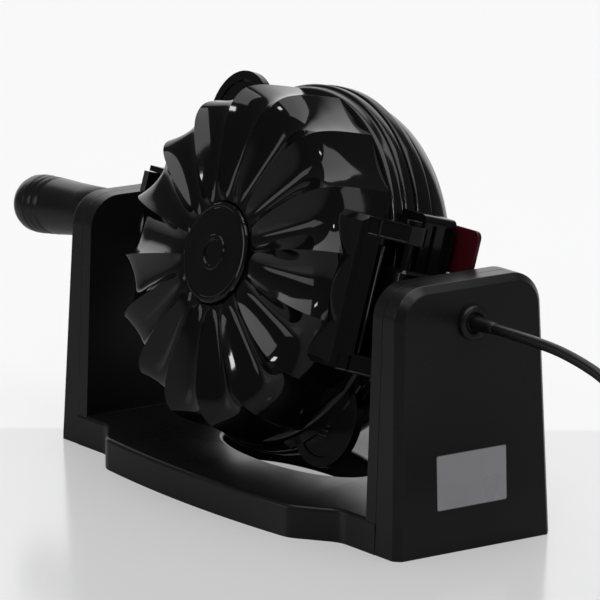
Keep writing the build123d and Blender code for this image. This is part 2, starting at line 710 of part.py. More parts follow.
def clip(side):
    """A retaining ring behind the bush."""
    x0 = side * (PILLAR_INNER_X - BUSH_FLANGE_T + BUSH_LENGTH + FIT)
    return tube((x0, 0, 0), (x0 + side * CLIP_T, 0, 0), CLIP_R, SHAFT_R)


def grip_frame():
    """The grip's own axis: it droops a little from the shaft's."""
    lean = radians(GRIP_DROOP)
    origin = (-GRIP_START_X, 0, 0)
    return Plane(origin=origin, z_dir=(-cos(lean), sin(radians(TILT)) * sin(lean), -cos(radians(TILT)) * sin(lean)),
                 x_dir=(0, 1, 0))


def grip():
    """The round, flared grip with a rounded end and faint rings."""
    length = (GRIP_END_X - GRIP_START_X) / cos(radians(GRIP_DROOP))
    swell = GRIP_NECK_END + 4.0
    line = Spline((GRIP_ROOT_R, swell), (0.5 * (GRIP_ROOT_R + GRIP_END_R) - 0.3, 0.62 * length),
                  (GRIP_END_R, length - GRIP_NOSE), tangents=((0.01, 1.0), (0.0, 1.0)))
    nose = ThreePointArc(line @ 1, (0.78 * GRIP_END_R, length - 0.3 * GRIP_NOSE), (0.4 * GRIP_END_R, length))
    close = Polyline(nose @ 1, (0, length), (0, 5.0), (GRIP_NECK_R, 5.0), (GRIP_NECK_R, GRIP_NECK_END),
                     (GRIP_ROOT_R, swell))
    profile = make_face(Curve() + [line, nose, close])
    body = revolve(Plane.XZ * profile, Axis.Z, 360)
    for k in range(3):
        z = length - GRIP_NOSE - 6.0 - 8.0 * k
        groove = Pos(0, 0, z) * (Cylinder(GRIP_END_R + 4, 1.2) - Cylinder(GRIP_END_R - 1.1 - 0.25 * k, 3))
        body -= groove
    body = grip_frame() * body
    return body - shaft_left()


def grip_collar():
    """The collar between the pillar and the grip."""
    x0 = -GRIP_START_X + 3.0
    x1 = -GRIP_START_X - COLLAR_T + 1.0
    collar = rod((x0, 0, 0), (x1, 0, 0), COLLAR_R)
    return collar - shaft_left() - grip_frame() * Cylinder(60, 60, align=(Align.CENTER, Align.CENTER, Align.MIN)) \
        - rod((x1 - 30, 0, 0), (x0 + 1, 0, 0), SHAFT_R)


# Mains lead

def gland():
    """The domed flange and tapered sleeve where the lead leaves the pillar."""
    x = outer_face_x(AXIS_Z)
    dome = rod((x - 6.0, 0, AXIS_Z), (x + GLAND_T, 0, AXIS_Z), GLAND_R)
    dome = fillet(dome.edges().filter_by(GeomType.CIRCLE).sort_by(Axis.X)[-1], 2.6)
    dome &= dome - pillar_cover_front(x)
    sleeve = Plane(origin=(x + GLAND_T - 1, 0, AXIS_Z), z_dir=(1, 0, 0)) * Cone(
        SLEEVE_R, SLEEVE_TIP_R, SLEEVE_LENGTH, align=(Align.CENTER, Align.CENTER, Align.MIN))
    neck = rod((x - 8.0, 0, AXIS_Z), (x, 0, AXIS_Z), SLEEVE_R)
    body = dome + sleeve + neck
    end = x + GLAND_T - 1 + SLEEVE_LENGTH
    return body - rod((end - 8.0, 0, AXIS_Z), (end + 1, 0, AXIS_Z), CORD_D / 2)


def pillar_cover_front(x):
    """The wall of the right-hand cover round the gland."""
    return drafted(block((x - 20, -30, AXIS_Z - 30), (x + 6, 30, AXIS_Z + 30))) - rod(
        (x - 30, 0, AXIS_Z), (x + 30, 0, AXIS_Z), SLEEVE_R)


def cord_start():
    """Where the lead leaves its sleeve's end."""
    return outer_face_x(AXIS_Z) + GLAND_T - 1 + SLEEVE_LENGTH - 8.0


def lead_route():
    """The lead's route, chosen by hand: out, down to the table, and round to the coil."""
    cx, cy = COIL_CENTRE
    r_out = COIL_IN_R + COIL_STEP * COIL_HALVES
    z = CORD_D / 2
    return [
        (cord_start(), 0.0, AXIS_Z),
        (cord_start() + 38.0, 0.0, AXIS_Z),
        (cord_start() + 78.0, 0.5, AXIS_Z - 1.6),
        (322.0, 2.0, AXIS_Z - 12.0),
        (350.0, 4.0, AXIS_Z - 36.0),
        (368.0, 8.0, AXIS_Z - 68.0),
        (379.0, 14.0, AXIS_Z - 101.0),
        (386.0, 24.0, z + 12.5),
        (cx + r_out - 2.0, 44.0, z),
        (cx + r_out, cy - 20.0, z),
        (cx + r_out, cy, z),
    ]


def rounded_path(points):
    """Straight runs joined by the largest even arcs that they allow."""
    v = [Vector(*p) for p in points]
    radii = []
    for a, b, c in zip(v, v[1:], v[2:]):
        turn = radians((b - a).get_angle(c - b))
        radii.append(0.45 * min((b - a).length, (c - b).length) / tan(turn / 2))
    return FilletPolyline(*points, radius=radii), radii


def tube_along(path, diameter):
    """A round tube along a path."""
    section = Plane(origin=path @ 0, z_dir=path % 0) * Circle(diameter / 2)
    return sweep(section, path=path)


def mains_lead():
    """The free stretch of the lead."""
    path, radii = rounded_path(lead_route())
    lead = tube_along(path, CORD_D)
    print("lead length", round(path.length, 1), "radii", [round(r) for r in radii])
    print("lead volume ratio", round(lead.volume / (path.length * pi * CORD_D ** 2 / 4), 4))
    return lead


def coil_path():
    """Half turns that spiral in, climb a layer and spiral out again."""
    edges = []
    z = CORD_D / 2
    x, s = COIL_IN_R + COIL_STEP * COIL_HALVES, 1
    centre = 0.0
    for k in range(COIL_HALVES):
        r = COIL_IN_R + COIL_STEP * (COIL_HALVES - k) - COIL_STEP / 2
        centre = x - s * r
        edges.append(Edge.make_three_point_arc((x, 0, z), (centre, s * r, z), (centre - s * r, 0, z)))
        x, s = centre - s * r, -s
    rise = COIL_LAYER
    r = COIL_IN_R
    centre = x - s * r
    slant = sqrt(r * r + rise * rise / 4)
    middle = (centre, s * slant, z + rise / 2)
    edges.append(Edge.make_tangent_arc((x, 0, z), (0, s, 0), middle))
    edges.append(Edge.make_tangent_arc(middle, (-s * r, 0, rise / 2), (centre - s * r, 0, z + rise)))
    x, s = centre - s * r, -s
    z += rise
    for k in range(COIL_HALVES - 1):
        r = COIL_IN_R + COIL_STEP * k + COIL_STEP / 2
        centre = x - s * r
        edges.append(Edge.make_three_point_arc((x, 0, z), (centre, s * r, z), (centre - s * r, 0, z)))
        x, s = centre - s * r, -s
    return edges, (x, s, z)


def least_gap(edges):
    """The least gap between stretches of the coil that aren't neighbours, on points."""
    points, runs, far = [], [], 0.0
    for e in edges:
        n = max(8, int(e.length / 3))
        for i in range(n):
            points.append(e @ (i / n))
            runs.append(far + e.length * i / n)
        far += e.length
    best = 1e9
    for i, p in enumerate(points):
        for j in range(i + 1, len(points)):
            if runs[j] - runs[i] > 3 * CORD_D:
                best = min(best, (p - points[j]).length)
    return best - CORD_D


def lead_coil():
    """The put-away length of the lead, three and a half turns in two layers."""
    edges, _ = coil_path()
    path = Wire(edges)
    section = Plane(origin=path @ 0, z_dir=path % 0) * Circle(CORD_D / 2)
    coil = sweep(section, path=path)
    print("coil length", round(path.length, 1), "least gap", round(least_gap(edges), 2))
    print("coil volume ratio", round(coil.volume / (path.length * pi * CORD_D ** 2 / 4), 4))
    return Pos(COIL_CENTRE[0], COIL_CENTRE[1], 0) * coil


def tail_route():
    """From the coil's upper layer out to the plug."""
    _, (x, s, z) = coil_path()
    cx, cy = COIL_CENTRE
    return [
        (cx + x, cy, z),
        (cx + x, cy + s * 14.0, z),
        (cx + x + 1.5, cy + s * 32.0, z + 1.2),
        (cx + x + 3.5, cy + s * 52.0, PLUG_HALF_T),
    ]


def lead_tail():
    """The short stretch between the coil and the plug."""
    path, radii = rounded_path(tail_route())
    print("tail length", round(path.length, 1), "radii", [round(r) for r in radii])
    return tube_along(path, CORD_D)


def plug():
    """A two-pin mains plug, lying on its flat side."""
    route = tail_route()
    a, b = Vector(*route[-2]), Vector(*route[-1])
    frame = Plane(origin=b, z_dir=b - a, x_dir=Vector(0, 0, 1).cross(b - a))
    low = (Align.CENTER, Align.CENTER, Align.MIN)
    sleeve = Cone(CORD_D / 2 + 1.4, CORD_D / 2 + 3.0, 22.0, align=low)
    sleeve_back = Pos(0, 0, -6.0) * Cylinder(CORD_D / 2 + 1.4, 6.0, align=low)
    hip = Pos(0, 0, 22.0) * Cone(CORD_D / 2 + 3.0, PLUG_R, 12.0, align=low)
    head = Pos(0, 0, 34.0) * Cylinder(PLUG_R, 16.0, align=low)
    body = sleeve + hip + head + sleeve_back
    body &= Pos(0, 0, 25.0) * Box(2 * PLUG_R + 1, 2 * PLUG_HALF_T, 80.0)
    for s in (-1, 1):
        body += Pos(s * PLUG_PIN_PITCH / 2, 0, 50.0) * Cylinder(PLUG_PIN_R, PLUG_PIN_LENGTH, align=low)
    body -= Pos(0, 0, -6.0) * Cylinder(CORD_D / 2, 6.0, align=low)
    return frame * body


def terminal_block():
    """The block inside the right-hand pillar where the leads are joined."""
    x = PILLAR_SPLIT_X
    body = block((x - 6.0, -22.0, 40.0), (x + 6.0, 22.0, 56.0))
    body = chamfer(body.edges().filter_by(Axis.Y), 1.5)
    for k in (-1, 0, 1):
        body -= rod((x + 7.0, 13.0 * k, 48.0), (x, 13.0 * k, 48.0), 2.6)
    return body + block((PILLAR_INNER_X + STAND_WALL, -6.0, 44.0), (x - 6.0, 6.0, 52.0))


# Build

def build():
    form = fluted_form()
    pan_deep = SEAM_GAP / 2 + FLUTED_PAN_DEPTH + PAN_WALL
    dome_deep = SEAM_GAP / 2 + DOME_PAN_DEPTH + PAN_WALL
    crown = crown_radius(DOME_PAN_R + PAN_WALL, DOME_PAN_DEPTH + PAN_WALL, PAN_SHOULDER + PAN_WALL)
    dome_heater_n = -(dome_deep - crown + sqrt(crown ** 2 - HEATER_R ** 2) + 1.06 * HEATER_TUBE_R)
    cover = pillar_cover()
    x_face = outer_face_x(AXIS_Z)
    right_cover = cover - rod((x_face - 30, 0, AXIS_Z), (x_face + 30, 0, AXIS_Z), SLEEVE_R)
    left_cover = mirror(cover, Plane.YZ) - rod((-250, 0, AXIS_Z), (-150, 0, AXIS_Z), SHAFT_R + 0.6)
    stand = {
        "stand_frame": stand_frame(),
        "left_pillar_cover": left_cover,
        "right_pillar_cover": right_cover,
        "base_cover": base_cover(),
        "rubber_feet": rubber_feet(),
        "base_screws": base_screws(),
        "left_bush": bush(-1),
        "right_bush": bush(1),
        "terminal_block": terminal_block(),
        "cord_gland": gland(),
        "mains_lead": mains_lead(),
        "lead_coil": lead_coil(),
        "lead_tail": lead_tail(),
        "mains_plug": plug(),
    }
    cooker = {
        "dome_shell": dome_shell(),
        "rear_band": rear_band(),
        "dome_pan": dome_pan(),
        "dome_heater": heater(dome_heater_n),
        "dome_thermostat": thermostat(dome_deep, 1),
        "hinge_housing": hinge_housing(),
        "lamp_window": lamp_window(),
        "hinge_pin": hinge_pin(),
        "right_shaft": shaft_right(),
        "right_clip": clip(1),
        "left_lug": left_lug(),
        "left_shaft": shaft_left(),
        "left_clip": clip(-1),
        "latch_keeper": latch_keeper(),
        "grip_collar": grip_collar(),
        "grip": grip(),
        "dome_thermostat_rod": thermostat_rod(dome_deep, 1),
    }
    lid = {
        "fluted_shell": fluted_shell(form),
        "hub_disc": hub_disc(),
        "front_band": front_band(),
        "fluted_pan": fluted_pan(),
        "front_heater": heater(pan_deep + HEATER_TUBE_R),
        "front_thermostat": thermostat(-pan_deep, -1),
        "hinge_bracket": hinge_bracket(form),
        "ears": ears(),
        "latch_seat": latch_seat(form),
        "latch_lever": latch_lever(),
        "latch_pin": latch_axis(LATCH_PIN_R),
        "front_thermostat_rod": thermostat_rod(-pan_deep, -1),
    }
    os.makedirs("parts", exist_ok=True)
    for group, place in ((stand, None), (cooker, seat), (lid, seat)):
        for name, piece in group.items():
            solids = piece if isinstance(piece, list) else [piece]
            if place:
                solids = [place(s) for s in solids]
            whole = solids[0] if len(solids) == 1 else Compound(children=[Part() + s for s in solids])
            export_step(whole, f"parts/{name}.step")


build()
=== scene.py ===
"""Electric cake maker that flips on its stand: its looks, on a table in a plain studio.

Laid out as an add-on: the settings hold the sizes and colours, and each operator makes one
piece, or one group of like pieces.
"""

import math

import bmesh
import bpy
from bpy.props import FloatProperty, FloatVectorProperty, IntProperty, PointerProperty
from mathutils import Matrix, Vector


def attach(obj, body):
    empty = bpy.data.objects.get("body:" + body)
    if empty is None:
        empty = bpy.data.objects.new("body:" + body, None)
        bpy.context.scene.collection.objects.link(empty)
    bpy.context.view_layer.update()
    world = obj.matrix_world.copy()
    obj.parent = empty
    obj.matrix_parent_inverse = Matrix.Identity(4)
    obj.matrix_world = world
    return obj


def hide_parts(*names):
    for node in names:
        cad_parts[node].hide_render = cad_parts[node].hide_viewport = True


bl_info = {
    "name": "Flip Cake Maker",
    "version": (1, 0, 0),
    "blender": (4, 5, 0),
    "location": "3D View > Sidebar > Cake Maker",
    "description": "Builds an electric cake maker that flips on its stand, with finishes and light",
    "category": "Object",
}

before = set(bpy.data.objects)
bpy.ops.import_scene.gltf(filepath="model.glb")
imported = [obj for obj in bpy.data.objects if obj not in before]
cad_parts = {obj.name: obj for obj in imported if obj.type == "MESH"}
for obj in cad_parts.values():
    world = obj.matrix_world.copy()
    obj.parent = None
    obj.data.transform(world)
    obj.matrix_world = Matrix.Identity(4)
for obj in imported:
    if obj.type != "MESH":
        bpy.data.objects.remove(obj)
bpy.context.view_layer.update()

MM = 0.001
TILT = math.radians(16.0)
QUARTER = math.pi / 2
TABLE_REACH = 6.0
FACE_TARGET = (0.0, 0.0, 0.14)
CAMERA_TARGET = (1.7317, 0.0, 123.4375)
# Where the table's back edge fades into the backdrop, along the view from the middle (m)
BACK_EDGE = (0.141, 0.147)
# Where the dim side of the room turns white, as a share of the way behind the object
ROOM_TURN = (0.80, 0.90)

# One ridge line of the fluted shell: radius, height over the seam, valley depth (mm), lean (degrees)
RIDGE_LINE = (
    (34.0, 66.5, 0.0, 0.0),
    (46.0, 70.6, 4.5, 0.0),
    (62.0, 72.6, 8.5, 0.0),
    (80.0, 72.4, 11.0, 6.0),
    (96.5, 68.8, 10.5, 22.0),
    (107.5, 60.5, 7.5, 45.0),
    (112.5, 48.0, 5.4, 74.0),
    (114.8, 32.0, 4.2, 88.0),
    (116.0, 17.0, 3.8, 90.0),
)

# Sections of the turned pieces: radius, and height over the seam towards the flutes (mm)
HUB_LINE = (
    (0.0, 69.9), (7.9, 69.9), (8.3, 70.1), (8.5, 70.9), (8.9, 71.3), (10.9, 71.3), (11.4, 70.9),
    (11.7, 70.0), (12.2, 69.9), (20.0, 69.85), (28.6, 69.7), (29.2, 69.3), (29.9, 69.3),
    (30.5, 69.6), (31.6, 69.4), (32.5, 68.8), (33.0, 67.8), (33.0, 65.5), (30.0, 65.0), (0.0, 65.0),
)
FRONT_BAND_LINE = (
    (104.0, 17.0), (114.2, 17.0), (115.6, 16.5), (116.6, 15.5), (117.0, 14.2), (117.0, 10.0),
    (117.4, 9.2), (118.4, 8.7), (119.4, 8.3), (120.0, 7.3), (120.0, 1.6), (119.6, 0.7), (118.6, 0.2),
    (111.3, 0.2), (111.3, 4.0), (114.0, 4.0), (114.0, 14.0), (104.0, 14.0),
)
REAR_BAND_LINE = (
    (113.0, -15.0), (116.8, -15.0), (117.7, -14.5), (118.0, -13.6), (118.0, -9.4), (118.6, -8.8),
    (120.2, -8.4), (121.0, -7.5), (121.0, -1.6), (120.6, -0.7), (119.6, -0.2), (111.3, -0.2),
    (111.3, -4.0), (113.0, -4.0),
)
# The grip: radius, and distance from the pillar's outer end of the collar (mm)
GRIP_LINE = (
    (0.0, 5.0), (14.0, 5.0), (14.0, 31.5), (14.6, 33.4), (16.4, 35.4), (17.2, 37.5), (17.6, 52.0),
    (18.4, 72.0), (19.3, 90.0), (20.0, 104.0), (20.3, 112.0), (19.8, 117.0), (18.2, 121.2),
    (15.0, 124.0), (10.5, 125.4), (6.0, 125.7), (0.0, 125.8),
)
RING_HEIGHT, RING_PITCH = 107.0, 8.0
# The gland: radius, and distance outwards from its foot inside the pillar (mm)
GLAND_FOOT = 185.0
GLAND_LINE = (
    (3.6, 0.0), (11.0, 0.0), (11.0, 1.9), (10.6, 3.2), (9.6, 4.1), (8.2, 4.4), (6.9, 4.0),
    (6.1, 3.0), (5.6, 2.6), (5.0, 3.0), (4.9, 5.0), (4.6, 10.0), (4.3, 15.0), (4.0, 20.0),
    (3.8, 23.2), (3.56, 23.6), (3.56, 12.0),
)
# The lead's route from the stand to the table, and its steps from the coil's end to the plug (mm)
LEAD_OUT = (
    (200.6, 0.0, 144.0), (238.6, 0.0, 144.0), (278.6, 0.5, 142.4), (322.0, 2.0, 132.0),
    (350.0, 4.0, 108.0), (368.0, 8.0, 76.0), (379.0, 14.0, 43.0), (386.0, 24.0, 16.0),
    (393.0, 44.0, 3.5), (395.6, 66.0, 3.5),
)
LEAD_TAIL = ((0.0, 14.0, 0.0), (1.5, 32.0, 1.2), (3.5, 52.0, 2.5))
PLUG_PINS = 19.5
# The side hinge, in x and depth (mm): its pin, the round of a knuckle bar, the bracket's outer
# corner and the spine. The arms lie between the two heights
PIN = (136.0, -24.0)
KNUCKLE_RADIUS = 9.6
ARM_HEIGHTS = ((37.4, 49.0), (-49.0, -37.4))
ARM_CORNERS = ((126.0, -51.4), (145.6, -32.0))
ARM_ROOT = (126.0, -14.4)
SPINE = ((126.0, -51.4), (133.0, -44.5), (130.4, -41.9), (126.0, -46.0))
SPINE_HALF = 37.6
INNER_LINE = ((125.8, -42.6, -36.0), (135.6, -41.0, 33.0))
# The lamp window's corners in x and height, and its back and thickness (mm)
LAMP_LOW, LAMP_HIGH = (118.0, 24.0), (151.0, 54.0)
LAMP_BACK, LAMP_THICKNESS, LAMP_CORNER = 17.0, 3.0, 5.0
# The bare plate's width and height, its middle along Y and Z, and the film's margin (mm)
PLATE_SIZE, PLATE_MIDDLE, FILM_MARGIN = (54.4, 35.0), (-2.2, 45.5), 0.7
EVEN = (1.0, 1.0, 1.0)


def bare(value):
    """A length from mm to metres."""
    return value * MM


class StandSettings(bpy.types.PropertyGroup):
    """The stand and the flip axis."""

    axis_height: FloatProperty(
        name="Axis height", description="Height of the flip axis over the table",
        default=0.144, unit="LENGTH")
    outer_foot: FloatProperty(
        name="Outer face", description="Distance of a pillar's outer face from the middle, at the foot",
        default=0.191, unit="LENGTH")
    outer_top: FloatProperty(
        name="Outer face at the top", description="The same distance at the top of the pillar",
        default=0.184, unit="LENGTH")
    pillar_height: FloatProperty(
        name="Pillar height", description="Height of both pillars", default=0.170, unit="LENGTH")
    edge: FloatProperty(
        name="Moulded edge", description="Radius of the edges left by the mould",
        default=0.0006, unit="LENGTH")


class ShellSettings(bpy.types.PropertyGroup):
    """The fluted half and the dome."""

    flutes: IntProperty(
        name="Flutes", description="Number of ridges round the fluted shell", default=16, min=6)
    steps: IntProperty(
        name="Steps in a flute", description="Facets across each flute, before smoothing",
        default=20, min=4)
    wall: FloatProperty(
        name="Wall", description="Thickness of both shells", default=0.0024, unit="LENGTH")
    dome_radius: FloatProperty(
        name="Dome radius", description="Radius of the dome where it leaves its band",
        default=0.116, unit="LENGTH")
    dome_rise: FloatProperty(
        name="Dome rise", description="Height of the dome over its band",
        default=0.056, unit="LENGTH")
    dome_spring: FloatProperty(
        name="Dome spring", description="Distance of the dome's edge from the seam",
        default=0.015, unit="LENGTH")


class EarSettings(bpy.types.PropertyGroup):
    """The two lifting ears on the front band."""

    angle: FloatProperty(
        name="Angle", description="Direction of the upper ear round the seam",
        default=math.radians(134.0), subtype="ANGLE")
    reach: FloatProperty(
        name="Reach", description="Distance of an ear's tip from the middle",
        default=0.149, unit="LENGTH")
    radius: FloatProperty(
        name="Radius", description="Radius of an ear's round end", default=0.032, unit="LENGTH")
    thickness: FloatProperty(
        name="Thickness", description="Thickness of an ear", default=0.0055, unit="LENGTH")
    height: FloatProperty(
        name="Height", description="Height of an ear's middle over the seam",
        default=0.012, unit="LENGTH")
    ribs: IntProperty(
        name="Ribs", description="Grip ribs on each ear", default=4, min=0)


class GripSettings(bpy.types.PropertyGroup):
    """The round grip at the end of the flip axis."""

    start: FloatProperty(
        name="Start", description="Distance of the grip's root from the middle",
        default=0.193, unit="LENGTH")
    droop: FloatProperty(
        name="Droop", description="How far the grip hangs below the flip axis",
        default=math.radians(5.0), subtype="ANGLE")
    rings: IntProperty(name="Rings", description="Faint rings near the grip's end", default=3, min=0)


class LeadSettings(bpy.types.PropertyGroup):
    """The mains lead, its coil and its plug."""

    diameter: FloatProperty(
        name="Diameter", description="Thickness of the lead", default=0.007, unit="LENGTH")
    length: FloatProperty(
        name="Length", description="Real length of the lead", default=1.334, unit="LENGTH")
    coil_x: FloatProperty(
        name="Coil X", description="Middle of the coil along X", default=0.346, unit="LENGTH")
    coil_y: FloatProperty(
        name="Coil Y", description="Middle of the coil along Y", default=0.086, unit="LENGTH")
    coil_radius: FloatProperty(
        name="Coil radius", description="Radius of the innermost half turn",
        default=0.031, unit="LENGTH")
    coil_step: FloatProperty(
        name="Coil step", description="Growth of the radius with each half turn",
        default=0.0045, unit="LENGTH")
    coil_layer: FloatProperty(
        name="Coil layer", description="Height of the upper layer over the lower",
        default=0.008, unit="LENGTH")
    lower_halves: IntProperty(
        name="Lower half turns", description="Half turns in the coil's lower layer", default=4, min=2)


class FinishSettings(bpy.types.PropertyGroup):
    """Colours of the finishes."""

    shell: FloatVectorProperty(
        name="Shells", description="Gloss black of both shells and bands",
        default=(0.0055, 0.0055, 0.006), subtype="COLOR", min=0, max=1)
    stand: FloatVectorProperty(
        name="Stand", description="Black of the moulded stand",
        default=(0.0115, 0.0115, 0.012), subtype="COLOR", min=0, max=1)
    grip: FloatVectorProperty(
        name="Grip", description="Black of the grip", default=(0.011, 0.011, 0.012),
        subtype="COLOR", min=0, max=1)
    lead: FloatVectorProperty(
        name="Lead", description="Black of the lead and its plug", default=(0.010, 0.010, 0.0105),
        subtype="COLOR", min=0, max=1)
    lamp: FloatVectorProperty(
        name="Lamp window", description="Dark red of the lamp window", default=(0.055, 0.004, 0.008),
        subtype="COLOR", min=0, max=1)
    plate: FloatVectorProperty(
        name="Bare plate", description="Pale film of the bare plate", default=(0.62, 0.62, 0.64),
        subtype="COLOR", min=0, max=1)
    steel: FloatVectorProperty(
        name="Steel", description="Bare steel of shafts and pins", default=(0.55, 0.55, 0.56),
        subtype="COLOR", min=0, max=1)
    coat: FloatVectorProperty(
        name="Pan coat", description="Non-stick coat of the pans", default=(0.022, 0.022, 0.024),
        subtype="COLOR", min=0, max=1)


class StudioSettings(bpy.types.PropertyGroup):
    """The table, the backdrop, the lamps and the camera."""

    azimuth: FloatProperty(
        name="Azimuth", description="Direction of the camera round the object",
        default=math.radians(54.365), subtype="ANGLE")
    elevation: FloatProperty(
        name="Elevation", description="Height of the camera as an angle",
        default=math.radians(12.909), subtype="ANGLE")
    distance: FloatProperty(
        name="Distance", description="Distance of the camera", default=3.4124, unit="LENGTH")
    roll: FloatProperty(
        name="Roll", description="Lean of the camera", default=math.radians(0.2416), subtype="ANGLE")
    lens: FloatProperty(
        name="Lens", description="Focal length of the camera in mm", default=316.04, min=10)
    floor_colour: FloatVectorProperty(
        name="Table", description="Pale table top", default=(0.50, 0.50, 0.505), subtype="COLOR",
        min=0, max=1)
    table_lift: FloatProperty(
        name="Table lift", description="White added to the table for the camera", default=0.37, min=0)
    backdrop_lift: FloatProperty(
        name="Backdrop lift", description="White added past the table's back edge", default=0.46, min=0)
    room: FloatProperty(
        name="Room light", description="Strength of the dim light from the camera's side",
        default=0.07, min=0)
    behind: FloatProperty(
        name="Light behind", description="Strength of the white room behind the object",
        default=1.0, min=0)
    backdrop: FloatProperty(
        name="Backdrop", description="Strength of the room as the camera sees it", default=0.93, min=0)
    top_power: FloatProperty(
        name="Top lamp", description="Power of the wide lamp overhead in watts", default=24.0, min=0)
    left_power: FloatProperty(
        name="Left screen", description="Power of the tall soft screen at the left in watts",
        default=2.6, min=0)
    right_power: FloatProperty(
        name="Right screen", description="Power of the soft screen at the right in watts",
        default=3.6, min=0)
    spot_power: FloatProperty(
        name="Window lamp", description="Power of the small bright lamp in watts", default=2.4, min=0)


SETTINGS = (
    ("stand", StandSettings), ("shell", ShellSettings), ("ears", EarSettings), ("grip", GripSettings),
    ("lead", LeadSettings), ("finish", FinishSettings), ("studio", StudioSettings),
)


# Finishes

def node(tree, kind, **settings):
    """A shader node with its settings and socket values."""
    made = tree.nodes.new(kind)
    for key, value in settings.items():
        if hasattr(made, key):
            setattr(made, key, value)
        else:
            made.inputs[key.replace("_", " ")].default_value = value
    return made


def object_noise(tree, scale, detail=2.0, stretch=(1.0, 1.0, 1.0)):
    """Noise that stays with the piece."""
    place = node(tree, "ShaderNodeTexCoord")
    mapping = node(tree, "ShaderNodeMapping", Scale=stretch)
    noise = node(tree, "ShaderNodeTexNoise", Scale=scale, Detail=detail)
    tree.links.new(place.outputs["Object"], mapping.inputs["Vector"])
    tree.links.new(mapping.outputs["Vector"], noise.inputs["Vector"])
    return noise


def ranged(tree, source, low, high, start=0.3, end=0.7):
    """A value spread between two others."""
    spread = node(tree, "ShaderNodeMapRange")
    spread.inputs["From Min"].default_value = start
    spread.inputs["From Max"].default_value = end
    spread.inputs["To Min"].default_value = low
    spread.inputs["To Max"].default_value = high
    tree.links.new(source, spread.inputs["Value"])
    return spread.outputs["Result"]


def make_finish(name, colour, rough, metal=0.0, grain=None, clouds=None, mottle=None, coat=0.0):
    """A finish. Grain is a bump's scale, depth in metres and stretch; clouds vary the gloss and
    mottle the colour, each by a scale and an amount."""
    made = bpy.data.materials.new(name)
    made.use_nodes = True
    tree = made.node_tree
    shader = tree.nodes["Principled BSDF"]
    shader.inputs["Base Color"].default_value = (*colour, 1.0)
    shader.inputs["Roughness"].default_value = rough
    shader.inputs["Metallic"].default_value = metal
    if coat:
        shader.inputs["Coat Weight"].default_value = coat
        shader.inputs["Coat Roughness"].default_value = 0.04
    if clouds:
        scale, spread = clouds
        noise = object_noise(tree, scale, 4.0)
        tree.links.new(ranged(tree, noise.outputs["Fac"], rough - spread, rough + spread),
                       shader.inputs["Roughness"])
    if mottle:
        scale, amount = mottle
        noise = object_noise(tree, scale, 3.0)
        mix = node(tree, "ShaderNodeMix", data_type="RGBA")
        mix.inputs["A"].default_value = (*[c * (1 - amount) for c in colour], 1.0)
        mix.inputs["B"].default_value = (*[min(1.0, c * (1 + amount)) for c in colour], 1.0)
        mix_factor = ranged(tree, noise.outputs["Fac"], 0.0, 1.0)
        tree.links.new(mix_factor, mix.inputs["Factor"])
        tree.links.new(mix.outputs["Result"], shader.inputs["Base Color"])
    if grain:
        scale, depth, stretch = grain
        noise = object_noise(tree, scale, 2.0, stretch)
        bump = node(tree, "ShaderNodeBump", Strength=0.6, Distance=depth)
        tree.links.new(noise.outputs["Fac"], bump.inputs["Height"])
        tree.links.new(bump.outputs["Normal"], shader.inputs["Normal"])
    return made


def finish(name):
    """The named finish, made on its first use."""
    found = bpy.data.materials.get(name)
    if found:
        return found
    colours = bpy.context.scene.cake_finish
    recipes = {
        "gloss_shell": dict(colour=colours.shell, rough=0.075, clouds=(34.0, 0.02),
                            grain=(260.0, 0.00002, EVEN)),
        "gloss_trim": dict(colour=colours.shell, rough=0.14, clouds=(60.0, 0.03),
                           grain=(420.0, 0.00003, EVEN)),
        "stand_moulding": dict(colour=colours.stand, rough=0.3, clouds=(16.0, 0.05),
                               grain=(2600.0, 0.00005, EVEN), mottle=(9.0, 0.12)),
        "grip_moulding": dict(colour=colours.grip, rough=0.27, clouds=(40.0, 0.04),
                              grain=(1500.0, 0.00003, EVEN)),
        "pan_coat": dict(colour=colours.coat, rough=0.3, clouds=(50.0, 0.05),
                         grain=(1900.0, 0.00004, EVEN), mottle=(700.0, 0.5)),
        "turned_steel": dict(colour=colours.steel, rough=0.26, metal=1.0, clouds=(90.0, 0.06),
                             grain=(700.0, 0.00002, (8.0, 1.0, 1.0))),
        "black_steel": dict(colour=(0.035, 0.035, 0.037), rough=0.3, metal=1.0, clouds=(90.0, 0.06)),
        "element_tube": dict(colour=(0.22, 0.20, 0.18), rough=0.42, metal=1.0, clouds=(70.0, 0.08),
                             mottle=(120.0, 0.25)),
        "control_can": dict(colour=(0.62, 0.62, 0.6), rough=0.34, metal=1.0, clouds=(200.0, 0.06)),
        "rod_ceramic": dict(colour=(0.8, 0.77, 0.7), rough=0.36, clouds=(200.0, 0.06)),
        "bush_nylon": dict(colour=(0.62, 0.6, 0.55), rough=0.42, clouds=(120.0, 0.06),
                           grain=(1200.0, 0.00003, EVEN)),
        "terminal_nylon": dict(colour=(0.66, 0.62, 0.5), rough=0.45, clouds=(120.0, 0.06),
                               grain=(1200.0, 0.00003, EVEN)),
        "foot_rubber": dict(colour=(0.014, 0.014, 0.014), rough=0.75, clouds=(60.0, 0.06),
                            grain=(1500.0, 0.0001, EVEN)),
        "lead_sheath": dict(colour=colours.lead, rough=0.36, clouds=(30.0, 0.05),
                            grain=(900.0, 0.00004, EVEN)),
        "lamp_red": dict(colour=colours.lamp, rough=0.12, clouds=(40.0, 0.02),
                         grain=(160.0, 0.00003, (0.3, 1.0, 1.0)), coat=0.5),
        "plate_film": dict(colour=colours.plate, rough=0.3, clouds=(50.0, 0.04),
                           grain=(500.0, 0.00002, EVEN), mottle=(60.0, 0.02)),
        "plate_edge": dict(colour=(0.32, 0.32, 0.33), rough=0.35, clouds=(50.0, 0.04)),
    }
    return make_finish(name, **recipes[name])


# Modelling

